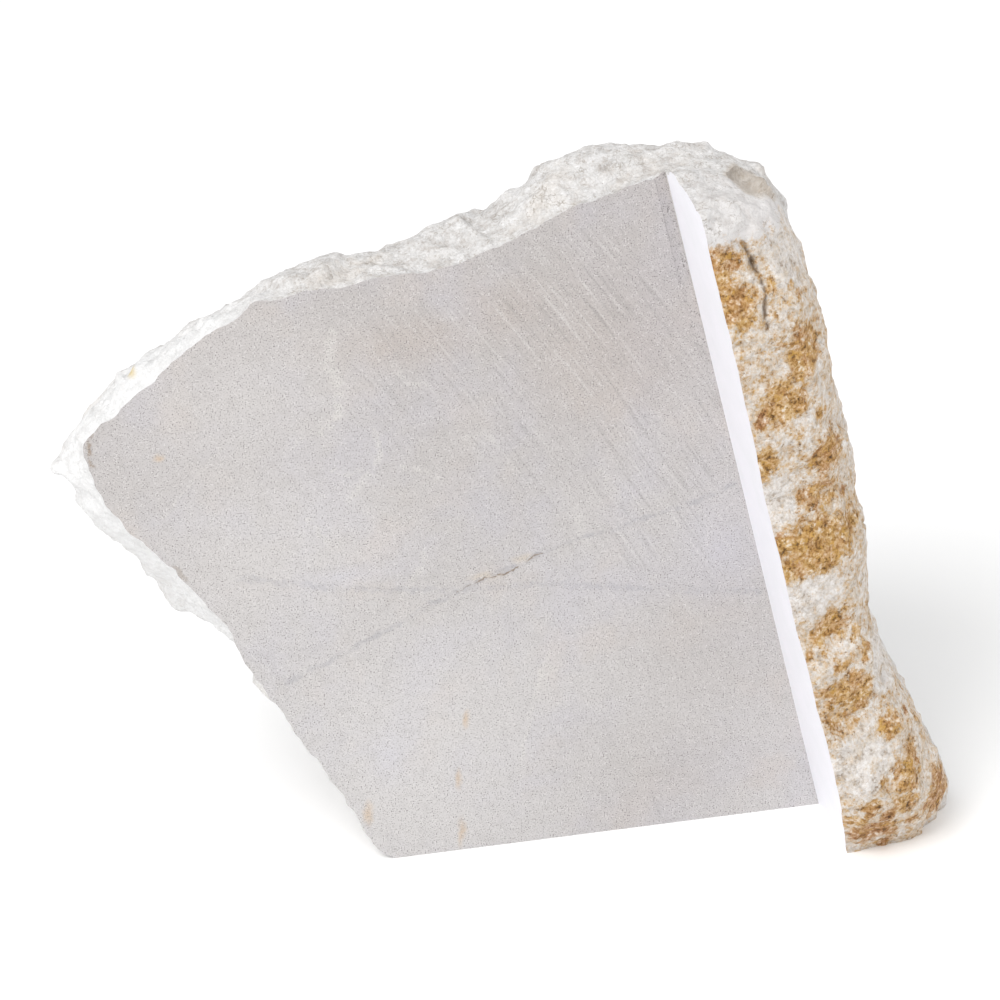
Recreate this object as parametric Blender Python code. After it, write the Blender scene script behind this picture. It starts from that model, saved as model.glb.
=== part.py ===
"""A broken block of limestone, cut once by a saw so that a flat face meets a square step."""

import math

import bmesh
import bpy
import numpy as np
from mathutils import Matrix, Vector, noise

MM = 0.001

# The block in millimetres: x along the flat face, y into the stone, z up from the resting face.
# Each outline runs clockwise from the left corner, as (x, z), at one depth behind the flat face.
MIDDLE = (2.0, 50.0)
FACE_OUTLINE = [
    (-56.4, 69.7), (-54.0, 72.5), (-51.8, 73.6), (-46.5, 78.4), (-42.3, 82.1), (-39.1, 84.2),
    (-35.5, 85.5), (-32.7, 88.0), (-24.9, 88.8), (-17.4, 89.6), (-8.1, 89.9), (-3.9, 90.7),
    (2.1, 93.5), (9.6, 96.9), (16.2, 98.6), (22.5, 100.7), (28.0, 100.6), (33.0, 99.8),
    (36.5, 97.5), (38.4, 93.0), (41.2, 85.0), (43.0, 77.0), (45.2, 66.0), (48.0, 54.0),
    (50.2, 44.0), (51.2, 35.0), (54.5, 26.0), (58.5, 18.0), (62.5, 9.5), (65.0, 3.0),
    (65.3, -2.0), (46.5, -1.0), (44.0, 0.7), (41.0, 0.4), (36.1, 1.2), (33.7, 0.3),
    (28.4, -0.8), (20.6, -0.2), (12.8, -0.3), (1.7, -0.6), (-8.2, 0.6), (-12.5, -0.3),
    (-15.2, -0.1), (-17.8, 2.1), (-22.6, 11.7), (-28.4, 21.6), (-30.9, 26.2), (-34.1, 31.0),
    (-35.7, 33.8), (-37.2, 38.1), (-41.0, 44.5), (-47.4, 52.9), (-52.4, 59.1), (-54.9, 63.3),
]
RIM_OUTLINE = [
    (-59.8, 63.0), (-55.8, 67.1), (-53.8, 69.7), (-49.3, 74.5), (-43.1, 78.0), (-36.3, 82.2),
    (-32.3, 84.2), (-26.9, 87.0), (-21.9, 88.9), (-15.8, 89.5), (-9.1, 90.5), (-2.4, 92.6),
    (2.6, 94.7), (6.2, 97.0), (8.2, 98.8), (14.9, 100.4), (18.9, 100.2), (29.8, 99.8),
    (34.1, 97.6), (37.6, 94.9), (39.8, 91.5), (41.5, 86.0), (43.5, 77.0), (45.5, 66.0),
    (47.5, 54.0), (49.5, 42.0), (51.0, 33.0), (55.0, 22.0), (59.0, 13.0), (62.5, 5.0),
    (63.0, -2.0), (40.0, -2.0), (-14.0, -2.0), (-21.0, 12.0), (-27.0, 22.0), (-33.0, 30.0),
    (-36.5, 34.0), (-39.7, 35.8), (-43.8, 38.9), (-45.5, 41.7), (-48.6, 46.3), (-52.2, 51.2),
    (-55.6, 55.6), (-58.1, 61.5),
]
BACK_SHOULDER = [
    (-52.0, 58.5), (-48.5, 65.5), (-42.5, 71.0), (-35.0, 75.0), (-25.5, 80.0), (-13.5, 82.0),
    (-2.0, 85.0), (8.0, 88.5), (18.0, 91.2), (28.0, 91.0), (36.0, 88.0), (40.0, 83.0),
    (43.0, 72.0), (47.0, 48.0), (49.0, 36.0), (53.0, 24.0), (57.0, 14.0), (60.0, 5.0),
    (60.0, -2.0), (-11.5, -2.0), (-18.5, 12.0), (-25.0, 23.0), (-31.0, 31.0), (-38.0, 38.5),
    (-45.0, 45.5), (-50.0, 52.0),
]
BACK_SLOPE = [
    (-46.0, 60.0), (-42.0, 66.0), (-34.0, 71.0), (-24.0, 75.0), (-12.0, 77.0), (2.0, 80.0),
    (12.0, 84.0), (22.0, 85.0), (30.0, 82.0), (35.0, 75.0), (38.0, 64.0), (43.0, 40.0),
    (47.0, 28.0), (51.0, 16.0), (54.0, 6.0), (54.0, -2.0), (-9.0, -2.0), (-17.0, 12.0),
    (-24.0, 23.0), (-31.0, 33.0), (-39.0, 42.0), (-44.0, 50.0),
]
BACK_CROWN = [
    (-32.0, 58.0), (-24.0, 63.0), (-10.0, 66.0), (4.0, 68.0), (16.0, 71.0), (25.0, 66.0),
    (29.0, 54.0), (33.0, 42.0), (38.0, 28.0), (43.0, 14.0), (45.0, 4.0), (45.0, -2.0),
    (-2.0, -2.0), (-9.0, 12.0), (-16.0, 24.0), (-24.0, 36.0), (-31.0, 48.0),
]
# In front of the flat face only the ridge is left by the saw; these points give its right side.
WASTE_TOP = [(-55.0, 70.0), (-35.0, 86.0), (-17.0, 90.0), (0.0, 92.0), (10.0, 97.0)]
WASTE_FOOT = [(46.0, -2.0), (-16.0, -2.0), (-22.0, 12.0), (-36.0, 34.0), (-54.0, 63.0)]
RIDGE_BACK = [
    (18.0, 102.2), (24.0, 102.6), (28.0, 102.2), (33.0, 100.6), (36.0, 98.0), (37.2, 96.0),
    (38.8, 92.3), (41.0, 85.0), (42.9, 77.0), (45.0, 66.7), (47.6, 56.0), (50.0, 44.0),
    (50.9, 35.0), (53.8, 26.0), (57.6, 18.5), (61.6, 10.0), (64.0, 4.0), (64.2, -2.0),
]
RIDGE_SIDE = [
    (18.0, 102.6), (24.0, 102.7), (28.0, 102.3), (33.0, 100.5), (35.4, 98.0), (37.1, 95.0),
    (38.6, 92.0), (40.8, 85.0), (42.8, 76.5), (45.4, 67.0), (47.3, 57.0), (49.0, 52.0),
    (49.8, 42.0), (50.6, 35.0), (52.6, 28.7), (54.9, 23.0), (57.1, 19.0), (59.6, 14.0),
    (61.7, 9.7), (62.9, 5.0), (63.1, 1.0), (62.4, -2.0),
]
RIDGE_SHOULDER = [
    (18.0, 102.2), (22.0, 102.4), (27.0, 101.6), (31.0, 99.6), (33.5, 96.5), (36.0, 92.0),
    (38.6, 84.0), (40.6, 76.0), (42.8, 66.0), (45.2, 55.0), (47.6, 44.0), (48.4, 35.0),
    (50.5, 28.0), (53.0, 22.0), (56.0, 15.0), (58.4, 9.0), (59.4, 4.0), (58.6, -2.0),
]
RIDGE_CRUST = [
    (18.0, 99.8), (22.0, 100.0), (26.0, 99.0), (29.0, 96.5), (31.4, 92.0), (33.8, 84.0),
    (35.8, 75.0), (38.2, 65.0), (40.8, 54.0), (43.2, 43.0), (44.5, 35.0), (46.5, 28.0),
    (49.0, 21.0), (51.5, 14.0), (53.4, 8.0), (54.0, 4.0), (53.0, -2.0),
]
RIDGE_CROWN = [
    (18.0, 95.0), (24.0, 94.0), (26.5, 90.0), (28.5, 83.0), (30.5, 74.0), (33.0, 64.0),
    (36.0, 53.0), (38.3, 42.0), (40.0, 34.0), (42.5, 26.0), (45.0, 19.0), (47.0, 13.0),
    (47.5, 6.0), (46.8, -2.0),
]
DEPTH_OUTLINES = [
    (-19.6, WASTE_TOP + RIDGE_CROWN + WASTE_FOOT),
    (-18.6, WASTE_TOP + RIDGE_CRUST + WASTE_FOOT),
    (-15.5, WASTE_TOP + RIDGE_SHOULDER + WASTE_FOOT),
    (-10.0, WASTE_TOP + RIDGE_SIDE + WASTE_FOOT),
    (-4.0, WASTE_TOP + RIDGE_BACK + WASTE_FOOT),
    (0.0, FACE_OUTLINE),
    (10.0, RIM_OUTLINE),
    (20.0, BACK_SHOULDER),
    (28.0, BACK_SLOPE),
    (33.5, BACK_CROWN),
]
# How far the crust of the ridge lies back from its proudest line, by height.
CRUST_SETBACK = [
    (-3.0, 6.2), (0.0, 6.1), (1.2, 5.3), (5.5, 3.0), (9.0, 1.5), (13.0, 0.9), (18.5, 1.3),
    (21.0, 1.5), (23.7, 3.0), (28.4, 2.3), (33.0, 1.9), (37.0, 4.2), (43.0, 3.7), (50.0, 2.9),
    (58.7, 4.0), (69.0, 1.9), (84.5, 0.8), (88.0, 0.7), (91.2, 1.2), (94.4, 1.5), (98.0, 0.5),
    (101.0, -0.2),
]
SETBACK_FROM = 4.0
SETBACK_FULL = 12.0

ANGLE_COUNT = 360
DEPTH_STEP = 1.0
SKIN_VOXEL = 1.1
SOLID_TRIANGLES = 12500

# Broken surfaces: large tilted facets on the back, two smaller sizes all round, then small lumps.
BACK_FACET_SIZE = 22.0
BACK_FACET_HEIGHT = 3.2
BACK_FACET_SINK = 0.35
BACK_FACET_SEED = 11
RIM_DEPTH = 9.0
BACK_FADE = 8.0
FACET_LAYERS = [(10.0, 0.9, 23), (4.5, 0.4, 37)]
FACET_STEP = 1.2
FACET_TILT = 2.2
FACET_CRISPNESS = 28.0
LUMP_SIZE = 3.2
LUMP_HEIGHT = 0.35
QUIET_NEAR_FACE = 0.3
QUIET_DEPTH = 4.0
CRUST_QUIET = 0.45
UNDERSIDE_FADE = 2.0

# The step: its plane leans left going up, square to the flat face.
STEP_FOOT_X = 46.64
STEP_LEAN = -0.2401
# The saw ran a little deeper beside the step, less and less going down.
KERF_WIDTH = 1.75
KERF_LEDGE = 0.03
KERF_FRONT = -1.0
KERF_END_DEPTH = -0.02
KERF_TOP_DEPTH = 0.6
KERF_TOP_Z = 104.0
KERF_END_Z = 70.0
# A small hollow in the top of the ridge.
PIT_CENTRE = (32.7, -3.2, 99.9)
PIT_RADII = (3.2, 7.2, 4.0)
PIT_TURN = -13.6

LIMESTONE_COLOUR = (0.62, 0.59, 0.56, 1.0)
LIMESTONE_ROUGHNESS = 0.9

# How far the cutters reach past the stone.
CUT_REACH = 90.0
SAW_LOW = -10.0
SAW_HIGH = 120.0
BASE_REACH = 100.0
BASE_LOW = -20.0


def loop_radius(loop, angles):
    """Distance of an outline from the middle line at each angle."""
    points = np.array(loop) - MIDDLE
    share = np.linspace(0.0, 1.0, 16, endpoint=False)[:, None]
    following = np.roll(points, -1, axis=0)
    fine = (points[:, None] * (1 - share) + following[:, None] * share).reshape(-1, 2)
    turn = np.arctan2(fine[:, 1], fine[:, 0])
    order = np.argsort(turn)
    return np.interp(angles, turn[order], np.hypot(*fine.T)[order], period=2 * np.pi)


def curve_through(depths, radii, wanted):
    """Smooth curves through the radii of all outlines, one for each angle."""
    slopes = np.gradient(radii, depths, axis=0)
    index = np.clip(np.searchsorted(depths, wanted) - 1, 0, len(depths) - 2)
    span = (depths[index + 1] - depths[index])[:, None]
    t = (wanted - depths[index])[:, None] / span
    rise = (3 - 2 * t) * t * t
    start = radii[index] * (1 - rise) + radii[index + 1] * rise
    bend = slopes[index] * (t - 1) * (t - 1) * t + slopes[index + 1] * (t - 1) * t * t
    return start + span * bend


def rough_block():
    """The block before sawing, as a closed tube of rings through the outlines."""
    angles = np.linspace(-np.pi, np.pi, ANGLE_COUNT, endpoint=False)
    depths = np.array([depth for depth, _ in DEPTH_OUTLINES])
    radii = np.array([loop_radius(loop, angles) for _, loop in DEPTH_OUTLINES])
    rows = np.arange(depths[0], depths[-1] + DEPTH_STEP / 2, DEPTH_STEP)
    rings = curve_through(depths, radii, rows)
    x = MIDDLE[0] + rings * np.cos(angles)
    z = MIDDLE[1] + rings * np.sin(angles)
    y = np.repeat(rows[:, None], ANGLE_COUNT, axis=1)
    points = np.stack([x, y, z], axis=-1).reshape(-1, 3)
    ends = [(MIDDLE[0], rows[0], MIDDLE[1]), (MIDDLE[0], rows[-1], MIDDLE[1])]
    points = np.vstack([points, ends])
    setback = np.interp(points[:, 2], *zip(*CRUST_SETBACK))
    share = (-points[:, 1] - SETBACK_FROM) / (SETBACK_FULL - SETBACK_FROM)
    points[:, 1] += setback * np.clip(share, 0, 1)
    faces = []
    last = (len(rows) - 1) * ANGLE_COUNT
    for i in range(ANGLE_COUNT):
        j = (i + 1) % ANGLE_COUNT
        faces.append((len(points) - 2, i, j))
        faces.append((len(points) - 1, last + j, last + i))
        for row in range(len(rows) - 1):
            a = row * ANGLE_COUNT
            b = a + ANGLE_COUNT
            faces.append((a + i, b + i, b + j, a + j))
    return mesh_object("rough_block", points, faces)


def mesh_object(name, points, faces):
    """A new object from points in millimetres, its faces turned outward."""
    mesh = bpy.data.meshes.new(name)
    mesh.from_pydata([tuple(p) for p in np.asarray(points) * MM], [], faces)
    work = bmesh.new()
    work.from_mesh(mesh)
    bmesh.ops.recalc_face_normals(work, faces=work.faces)
    work.to_mesh(mesh)
    work.free()
    obj = bpy.data.objects.new(name, mesh)
    bpy.context.scene.collection.objects.link(obj)
    return obj


def settle(obj):
    """Makes the modifiers of an object part of its mesh."""
    seen = obj.evaluated_get(bpy.context.evaluated_depsgraph_get())
    mesh = bpy.data.meshes.new_from_object(seen)
    obj.modifiers.clear()
    obj.data = mesh


def cell_value(cells, channel):
    """A fixed scattered number between 0 and 1 for each whole-number cell."""
    mixed = cells @ np.array([73856093, 19349663, 83492791]) + channel * 2654435761
    mixed = (mixed ^ (mixed >> 13)) * 1274126177
    mixed = (mixed ^ (mixed >> 16)) & 0xFFFFFF
    return mixed / float(0xFFFFFF)


def facets(points, size, seed):
    """Tilted flat facets with short steep steps between them, between about -1 and 1."""
    grid = points / size
    base = np.floor(grid).astype(np.int64)
    distances = []
    heights = []
    for step in np.ndindex(3, 3, 3):
        cell = base + np.array(step) - 1
        jitter = np.stack([cell_value(cell, seed + k) for k in range(3)], axis=-1)
        offset = grid - (cell + jitter)
        tilt = np.stack([cell_value(cell, seed + 3 + k) for k in range(3)], axis=-1) - 0.5
        level = (cell_value(cell, seed + 6) - 0.5) * FACET_STEP
        distances.append((offset ** 2).sum(axis=1))
        heights.append(level + (tilt * offset).sum(axis=1) * FACET_TILT)
    distances = np.array(distances)
    weights = np.exp(FACET_CRISPNESS * (distances.min(axis=0) - distances))
    return (weights * heights).sum(axis=0) / weights.sum(axis=0)


def broken_relief(points):
    """How far each point of the skin moves out or in, in millimetres."""
    depth = points[:, 1]
    behind_rim = np.clip((depth - RIM_DEPTH) / BACK_FADE, 0, 1)
    large = facets(points, BACK_FACET_SIZE, BACK_FACET_SEED) - BACK_FACET_SINK
    relief = large * BACK_FACET_HEIGHT * behind_rim
    for size, height, seed in FACET_LAYERS:
        relief += facets(points, size, seed) * height
    lumps = [noise.fractal(Vector(p / LUMP_SIZE), 1.0, 2.0, 2) for p in points]
    relief += np.array(lumps) * LUMP_HEIGHT
    from_face = np.clip(np.abs(depth) / QUIET_DEPTH, 0, 1)
    relief *= QUIET_NEAR_FACE + (1 - QUIET_NEAR_FACE) * from_face
    on_ridge = np.clip((-depth - QUIET_DEPTH) / QUIET_DEPTH, 0, 1)
    relief *= 1 - (1 - CRUST_QUIET) * on_ridge
    return relief * np.clip(1 + points[:, 2] / UNDERSIDE_FADE, 0, 1)


def weathered_skin(obj):
    """An even skin over the block, moved along its normals by the broken relief."""
    skin = obj.modifiers.new("even skin", "REMESH")
    skin.mode = "VOXEL"
    skin.voxel_size = SKIN_VOXEL * MM
    settle(obj)
    mesh = obj.data
    points = np.empty(len(mesh.vertices) * 3)
    mesh.vertices.foreach_get("co", points)
    points = points.reshape(-1, 3) / MM
    normals = np.array([vertex.normal for vertex in mesh.vertices])
    points += normals * broken_relief(points)[:, None]
    mesh.vertices.foreach_set("co", (points * MM).ravel())
    mesh.update()


def thin_out(obj, triangles):
    """Fewer, larger triangles."""
    corners = sum(len(polygon.vertices) - 2 for polygon in obj.data.polygons)
    fewer = obj.modifiers.new("fewer triangles", "DECIMATE")
    fewer.ratio = triangles / corners
    settle(obj)


def prism(name, outline, front, back):
    """A cutter with an outline of (x, z) points between two depths."""
    count = len(outline)
    points = [(x, front, z) for x, z in outline] + [(x, back, z) for x, z in outline]
    faces = [tuple(range(count)), tuple(reversed(range(count, 2 * count)))]
    for i in range(count):
        j = (i + 1) % count
        faces.append((i, i + count, j + count, j))
    return mesh_object(name, points, faces)


def combine(obj, other, operation):
    """Adds the other object's volume to the object, or takes it away."""
    other.hide_render = True
    other.display_type = "WIRE"
    step = obj.modifiers.new("combine", "BOOLEAN")
    step.operation = operation
    step.solver = "EXACT"
    step.object = other
    settle(obj)
    bpy.data.objects.remove(other)


def step_x(z):
    """Where the plane of the step lies at a height."""
    return STEP_FOOT_X + STEP_LEAN * z


def saw_cut():
    """The saw's waste: all in front of the flat face and left of the step."""
    outline = [
        (-CUT_REACH, SAW_LOW), (-CUT_REACH, SAW_HIGH),
        (step_x(SAW_HIGH), SAW_HIGH), (step_x(SAW_LOW), SAW_LOW),
    ]
    return prism("saw_cut", outline, -CUT_REACH, 0.0)


def kerf():
    """The shallow slot at the foot of the step, deepest at the top."""
    low = step_x(KERF_END_Z) - KERF_LEDGE
    top = step_x(KERF_TOP_Z) - KERF_LEDGE
    points = [
        (low - KERF_WIDTH, KERF_FRONT, KERF_END_Z), (low, KERF_FRONT, KERF_END_Z),
        (top, KERF_FRONT, KERF_TOP_Z), (top - KERF_WIDTH, KERF_FRONT, KERF_TOP_Z),
        (low - KERF_WIDTH, KERF_END_DEPTH, KERF_END_Z), (low, KERF_END_DEPTH, KERF_END_Z),
        (top, KERF_TOP_DEPTH, KERF_TOP_Z), (top - KERF_WIDTH, KERF_TOP_DEPTH, KERF_TOP_Z),
    ]
    faces = [(0, 1, 2, 3), (7, 6, 5, 4), (0, 4, 5, 1), (1, 5, 6, 2), (2, 6, 7, 3), (3, 7, 4, 0)]
    return mesh_object("kerf", points, faces)


def pit():
    """The round hollow near the top of the ridge."""
    turn = np.array(Matrix.Rotation(math.radians(PIT_TURN), 3, "Z"))
    work = bmesh.new()
    bmesh.ops.create_icosphere(work, subdivisions=3, radius=1.0)
    points = [turn @ (np.array(v.co) * PIT_RADII) + PIT_CENTRE for v in work.verts]
    faces = [tuple(v.index for v in face.verts) for face in work.faces]
    work.free()
    return mesh_object("pit", points, faces)


def resting_cut():
    """Everything below the resting face."""
    reach = BASE_REACH
    outline = [(-reach, BASE_LOW), (-reach, 0.0), (reach, 0.0), (reach, BASE_LOW)]
    return prism("resting_cut", outline, -reach, reach)


def stone_material():
    """Plain pale limestone."""
    material = bpy.data.materials.new("limestone")
    material.use_nodes = True
    shader = material.node_tree.nodes["Principled BSDF"]
    shader.inputs["Base Color"].default_value = LIMESTONE_COLOUR
    shader.inputs["Roughness"].default_value = LIMESTONE_ROUGHNESS
    return material


def centre_on_floor(obj):
    """Puts the middle of the block's footprint box over the origin."""
    corners = np.array([vertex.co for vertex in obj.data.vertices])
    low = corners.min(axis=0)
    high = corners.max(axis=0)
    shift = Vector((-(low[0] + high[0]) / 2, -(low[1] + high[1]) / 2, -low[2]))
    for vertex in obj.data.vertices:
        vertex.co += shift


def build():
    """The whole stone."""
    stone = rough_block()
    weathered_skin(stone)
    thin_out(stone, SOLID_TRIANGLES)
    taken = saw_cut()
    for other in (kerf(), pit(), resting_cut()):
        combine(taken, other, "UNION")
    combine(stone, taken, "DIFFERENCE")
    centre_on_floor(stone)
    stone.name = "limestone_block"
    stone.data.name = "limestone_block"
    stone.data.materials.clear()
    stone.data.materials.append(stone_material())


for old in list(bpy.data.objects):
    bpy.data.objects.remove(old)
build()
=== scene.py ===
import math

import bmesh
import bpy
import numpy as np
from mathutils import Matrix, Vector, noise


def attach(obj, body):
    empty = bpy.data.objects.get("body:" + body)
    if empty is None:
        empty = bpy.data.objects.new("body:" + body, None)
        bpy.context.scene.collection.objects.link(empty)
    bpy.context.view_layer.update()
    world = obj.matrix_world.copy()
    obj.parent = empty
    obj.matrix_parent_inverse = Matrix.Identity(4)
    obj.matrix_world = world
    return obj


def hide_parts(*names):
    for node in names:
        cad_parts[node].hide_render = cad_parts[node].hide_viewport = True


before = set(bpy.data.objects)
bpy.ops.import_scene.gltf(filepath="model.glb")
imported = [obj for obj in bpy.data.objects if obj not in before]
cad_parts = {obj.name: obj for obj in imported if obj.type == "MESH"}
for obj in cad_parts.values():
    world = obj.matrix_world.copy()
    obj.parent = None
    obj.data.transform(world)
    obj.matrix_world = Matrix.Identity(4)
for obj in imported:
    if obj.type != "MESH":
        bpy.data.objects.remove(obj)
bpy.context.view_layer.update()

MM = 0.001

# The stone in millimetres: x along the flat face, y into the stone, z up from the resting face.
# PLACE moves that origin to the middle of the stone's footprint, where the frame has it.
PLACE = (-3.211, -8.834)
MIDDLE = (2.0, 50.0)

# Outlines of the block, clockwise from the left corner as (x, z), at one depth each.
FACE_OUTLINE = [
    (-56.4, 69.7), (-54.0, 72.5), (-51.8, 73.6), (-46.5, 78.4), (-42.3, 82.1), (-39.1, 84.2),
    (-35.5, 85.5), (-32.7, 88.0), (-24.9, 88.8), (-17.4, 89.6), (-8.1, 89.9), (-3.9, 90.7),
    (2.1, 93.5), (9.6, 96.9), (16.2, 98.6), (22.5, 100.7), (28.0, 100.6), (33.0, 99.8),
    (36.5, 97.5), (38.4, 93.0), (41.2, 85.0), (43.0, 77.0), (45.2, 66.0), (48.0, 54.0),
    (50.2, 44.0), (51.2, 35.0), (54.5, 26.0), (58.5, 18.0), (62.5, 9.5), (65.0, 3.0),
    (65.3, -2.0), (46.5, -1.0), (44.0, -0.4), (41.0, -0.4), (36.1, -0.3), (33.7, -0.3),
    (28.4, -0.8), (20.6, -0.4), (12.8, -0.4), (1.7, -0.6), (-8.2, -0.3), (-12.5, -0.4),
    (-15.2, -0.2), (-17.8, 2.1), (-22.6, 11.7), (-28.4, 21.6), (-30.9, 26.2), (-34.1, 31.0),
    (-35.7, 33.8), (-37.2, 38.1), (-41.0, 44.5), (-47.4, 52.9), (-52.4, 59.1), (-54.9, 63.3),
]
RIM_OUTLINE = [
    (-59.8, 63.0), (-55.8, 67.1), (-53.8, 69.7), (-49.3, 74.5), (-43.1, 78.0), (-36.3, 82.2),
    (-32.3, 84.2), (-26.9, 87.0), (-21.9, 88.9), (-15.8, 89.5), (-9.1, 90.5), (-2.4, 92.6),
    (2.6, 94.7), (6.2, 97.0), (8.2, 98.8), (14.9, 100.4), (18.9, 100.2), (29.8, 99.8),
    (34.1, 97.6), (37.6, 94.9), (39.8, 91.5), (41.5, 86.0), (43.5, 77.0), (45.5, 66.0),
    (47.5, 54.0), (49.5, 42.0), (51.0, 33.0), (55.0, 22.0), (59.0, 13.0), (62.5, 5.0),
    (63.0, -2.0), (40.0, -2.0), (-14.0, -2.0), (-21.0, 12.0), (-27.0, 22.0), (-33.0, 30.0),
    (-36.5, 34.0), (-39.7, 35.8), (-43.8, 38.9), (-45.5, 41.7), (-48.6, 46.3), (-52.2, 51.2),
    (-55.6, 55.6), (-58.1, 61.5),
]
BACK_SHOULDER = [
    (-52.0, 58.5), (-48.5, 65.5), (-42.5, 71.0), (-35.0, 75.0), (-25.5, 80.0), (-13.5, 82.0),
    (-2.0, 85.0), (8.0, 88.5), (18.0, 91.2), (28.0, 91.0), (36.0, 88.0), (40.0, 83.0),
    (43.0, 72.0), (47.0, 48.0), (49.0, 36.0), (53.0, 24.0), (57.0, 14.0), (60.0, 5.0),
    (60.0, -2.0), (-11.5, -2.0), (-18.5, 12.0), (-25.0, 23.0), (-31.0, 31.0), (-38.0, 38.5),
    (-45.0, 45.5), (-50.0, 52.0),
]
BACK_SLOPE = [
    (-46.0, 60.0), (-42.0, 66.0), (-34.0, 71.0), (-24.0, 75.0), (-12.0, 77.0), (2.0, 80.0),
    (12.0, 84.0), (22.0, 85.0), (30.0, 82.0), (35.0, 75.0), (38.0, 64.0), (43.0, 40.0),
    (47.0, 28.0), (51.0, 16.0), (54.0, 6.0), (54.0, -2.0), (-9.0, -2.0), (-17.0, 12.0),
    (-24.0, 23.0), (-31.0, 33.0), (-39.0, 42.0), (-44.0, 50.0),
]
BACK_CROWN = [
    (-32.0, 58.0), (-24.0, 63.0), (-10.0, 66.0), (4.0, 68.0), (16.0, 71.0), (25.0, 66.0),
    (29.0, 54.0), (33.0, 42.0), (38.0, 28.0), (43.0, 14.0), (45.0, 4.0), (45.0, -2.0),
    (-2.0, -2.0), (-9.0, 12.0), (-16.0, 24.0), (-24.0, 36.0), (-31.0, 48.0),
]
WASTE_TOP = [(-55.0, 70.0), (-35.0, 86.0), (-17.0, 90.0), (0.0, 92.0), (10.0, 97.0)]
WASTE_FOOT = [(46.0, -2.0), (-16.0, -2.0), (-22.0, 12.0), (-36.0, 34.0), (-54.0, 63.0)]
RIDGE_BACK = [
    (18.0, 102.2), (24.0, 102.6), (28.0, 102.2), (33.0, 100.6), (36.0, 98.0), (37.2, 96.0),
    (38.8, 92.3), (41.0, 85.0), (42.9, 77.0), (45.0, 66.7), (47.6, 56.0), (50.0, 44.0),
    (50.9, 35.0), (53.8, 26.0), (57.6, 18.5), (61.6, 10.0), (64.0, 4.0), (64.2, -2.0),
]
RIDGE_SIDE = [
    (18.0, 102.6), (24.0, 102.7), (28.0, 102.3), (33.0, 100.5), (35.4, 98.0), (37.1, 95.0),
    (38.6, 92.0), (40.8, 85.0), (42.8, 76.5), (45.4, 67.0), (47.3, 57.0), (49.0, 52.0),
    (49.8, 42.0), (50.6, 35.0), (52.6, 28.7), (54.9, 23.0), (57.1, 19.0), (59.6, 14.0),
    (61.7, 9.7), (62.9, 5.0), (63.1, 1.0), (62.4, -2.0),
]
RIDGE_SHOULDER = [
    (18.0, 102.2), (22.0, 102.4), (27.0, 101.6), (31.0, 99.6), (33.5, 96.5), (36.0, 92.0),
    (38.6, 84.0), (40.6, 76.0), (42.8, 66.0), (45.2, 55.0), (47.6, 44.0), (48.4, 35.0),
    (50.5, 28.0), (53.0, 22.0), (56.0, 15.0), (58.4, 9.0), (59.4, 4.0), (58.6, -2.0),
]
RIDGE_CRUST = [
    (18.0, 99.8), (22.0, 100.0), (26.0, 99.0), (29.0, 96.5), (31.4, 92.0), (33.8, 84.0),
    (35.8, 75.0), (38.2, 65.0), (40.8, 54.0), (43.2, 43.0), (44.5, 35.0), (46.5, 28.0),
    (49.0, 21.0), (51.5, 14.0), (53.4, 8.0), (54.0, 4.0), (53.0, -2.0),
]
RIDGE_CROWN = [
    (18.0, 95.0), (24.0, 94.0), (26.5, 90.0), (28.5, 83.0), (30.5, 74.0), (33.0, 64.0),
    (36.0, 53.0), (38.3, 42.0), (40.0, 34.0), (42.5, 26.0), (45.0, 19.0), (47.0, 13.0),
    (47.5, 6.0), (46.8, -2.0),
]
DEPTH_OUTLINES = [
    (-19.6, WASTE_TOP + RIDGE_CROWN + WASTE_FOOT),
    (-18.6, WASTE_TOP + RIDGE_CRUST + WASTE_FOOT),
    (-15.5, WASTE_TOP + RIDGE_SHOULDER + WASTE_FOOT),
    (-10.0, WASTE_TOP + RIDGE_SIDE + WASTE_FOOT),
    (-4.0, WASTE_TOP + RIDGE_BACK + WASTE_FOOT),
    (0.0, FACE_OUTLINE),
    (10.0, RIM_OUTLINE),
    (20.0, BACK_SHOULDER),
    (28.0, BACK_SLOPE),
    (33.5, BACK_CROWN),
]
# How far the crust of the ridge lies back from its proudest line, by height.
CRUST_SETBACK = [
    (-3.0, 6.2), (0.0, 6.1), (1.2, 5.3), (5.5, 3.0), (9.0, 1.5), (13.0, 0.9), (18.5, 1.3),
    (21.0, 1.5), (23.7, 3.0), (28.4, 2.3), (33.0, 1.9), (37.0, 4.2), (43.0, 3.7), (50.0, 2.9),
    (58.7, 4.0), (69.0, 1.9), (84.5, 0.8), (88.0, 0.7), (91.2, 1.2), (94.4, 1.5), (98.0, 0.5),
    (101.0, -0.2),
]
SETBACK_FROM = 4.0
SETBACK_FULL = 12.0

LOOP_STEPS = 16
ANGLE_COUNT = 540
DEPTH_STEP = 0.5
SKIN_VOXEL = 0.46
SKIN_TRIANGLES = 192000
THIN_FROM = 12.0
THIN_ABOVE = 0.5

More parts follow.
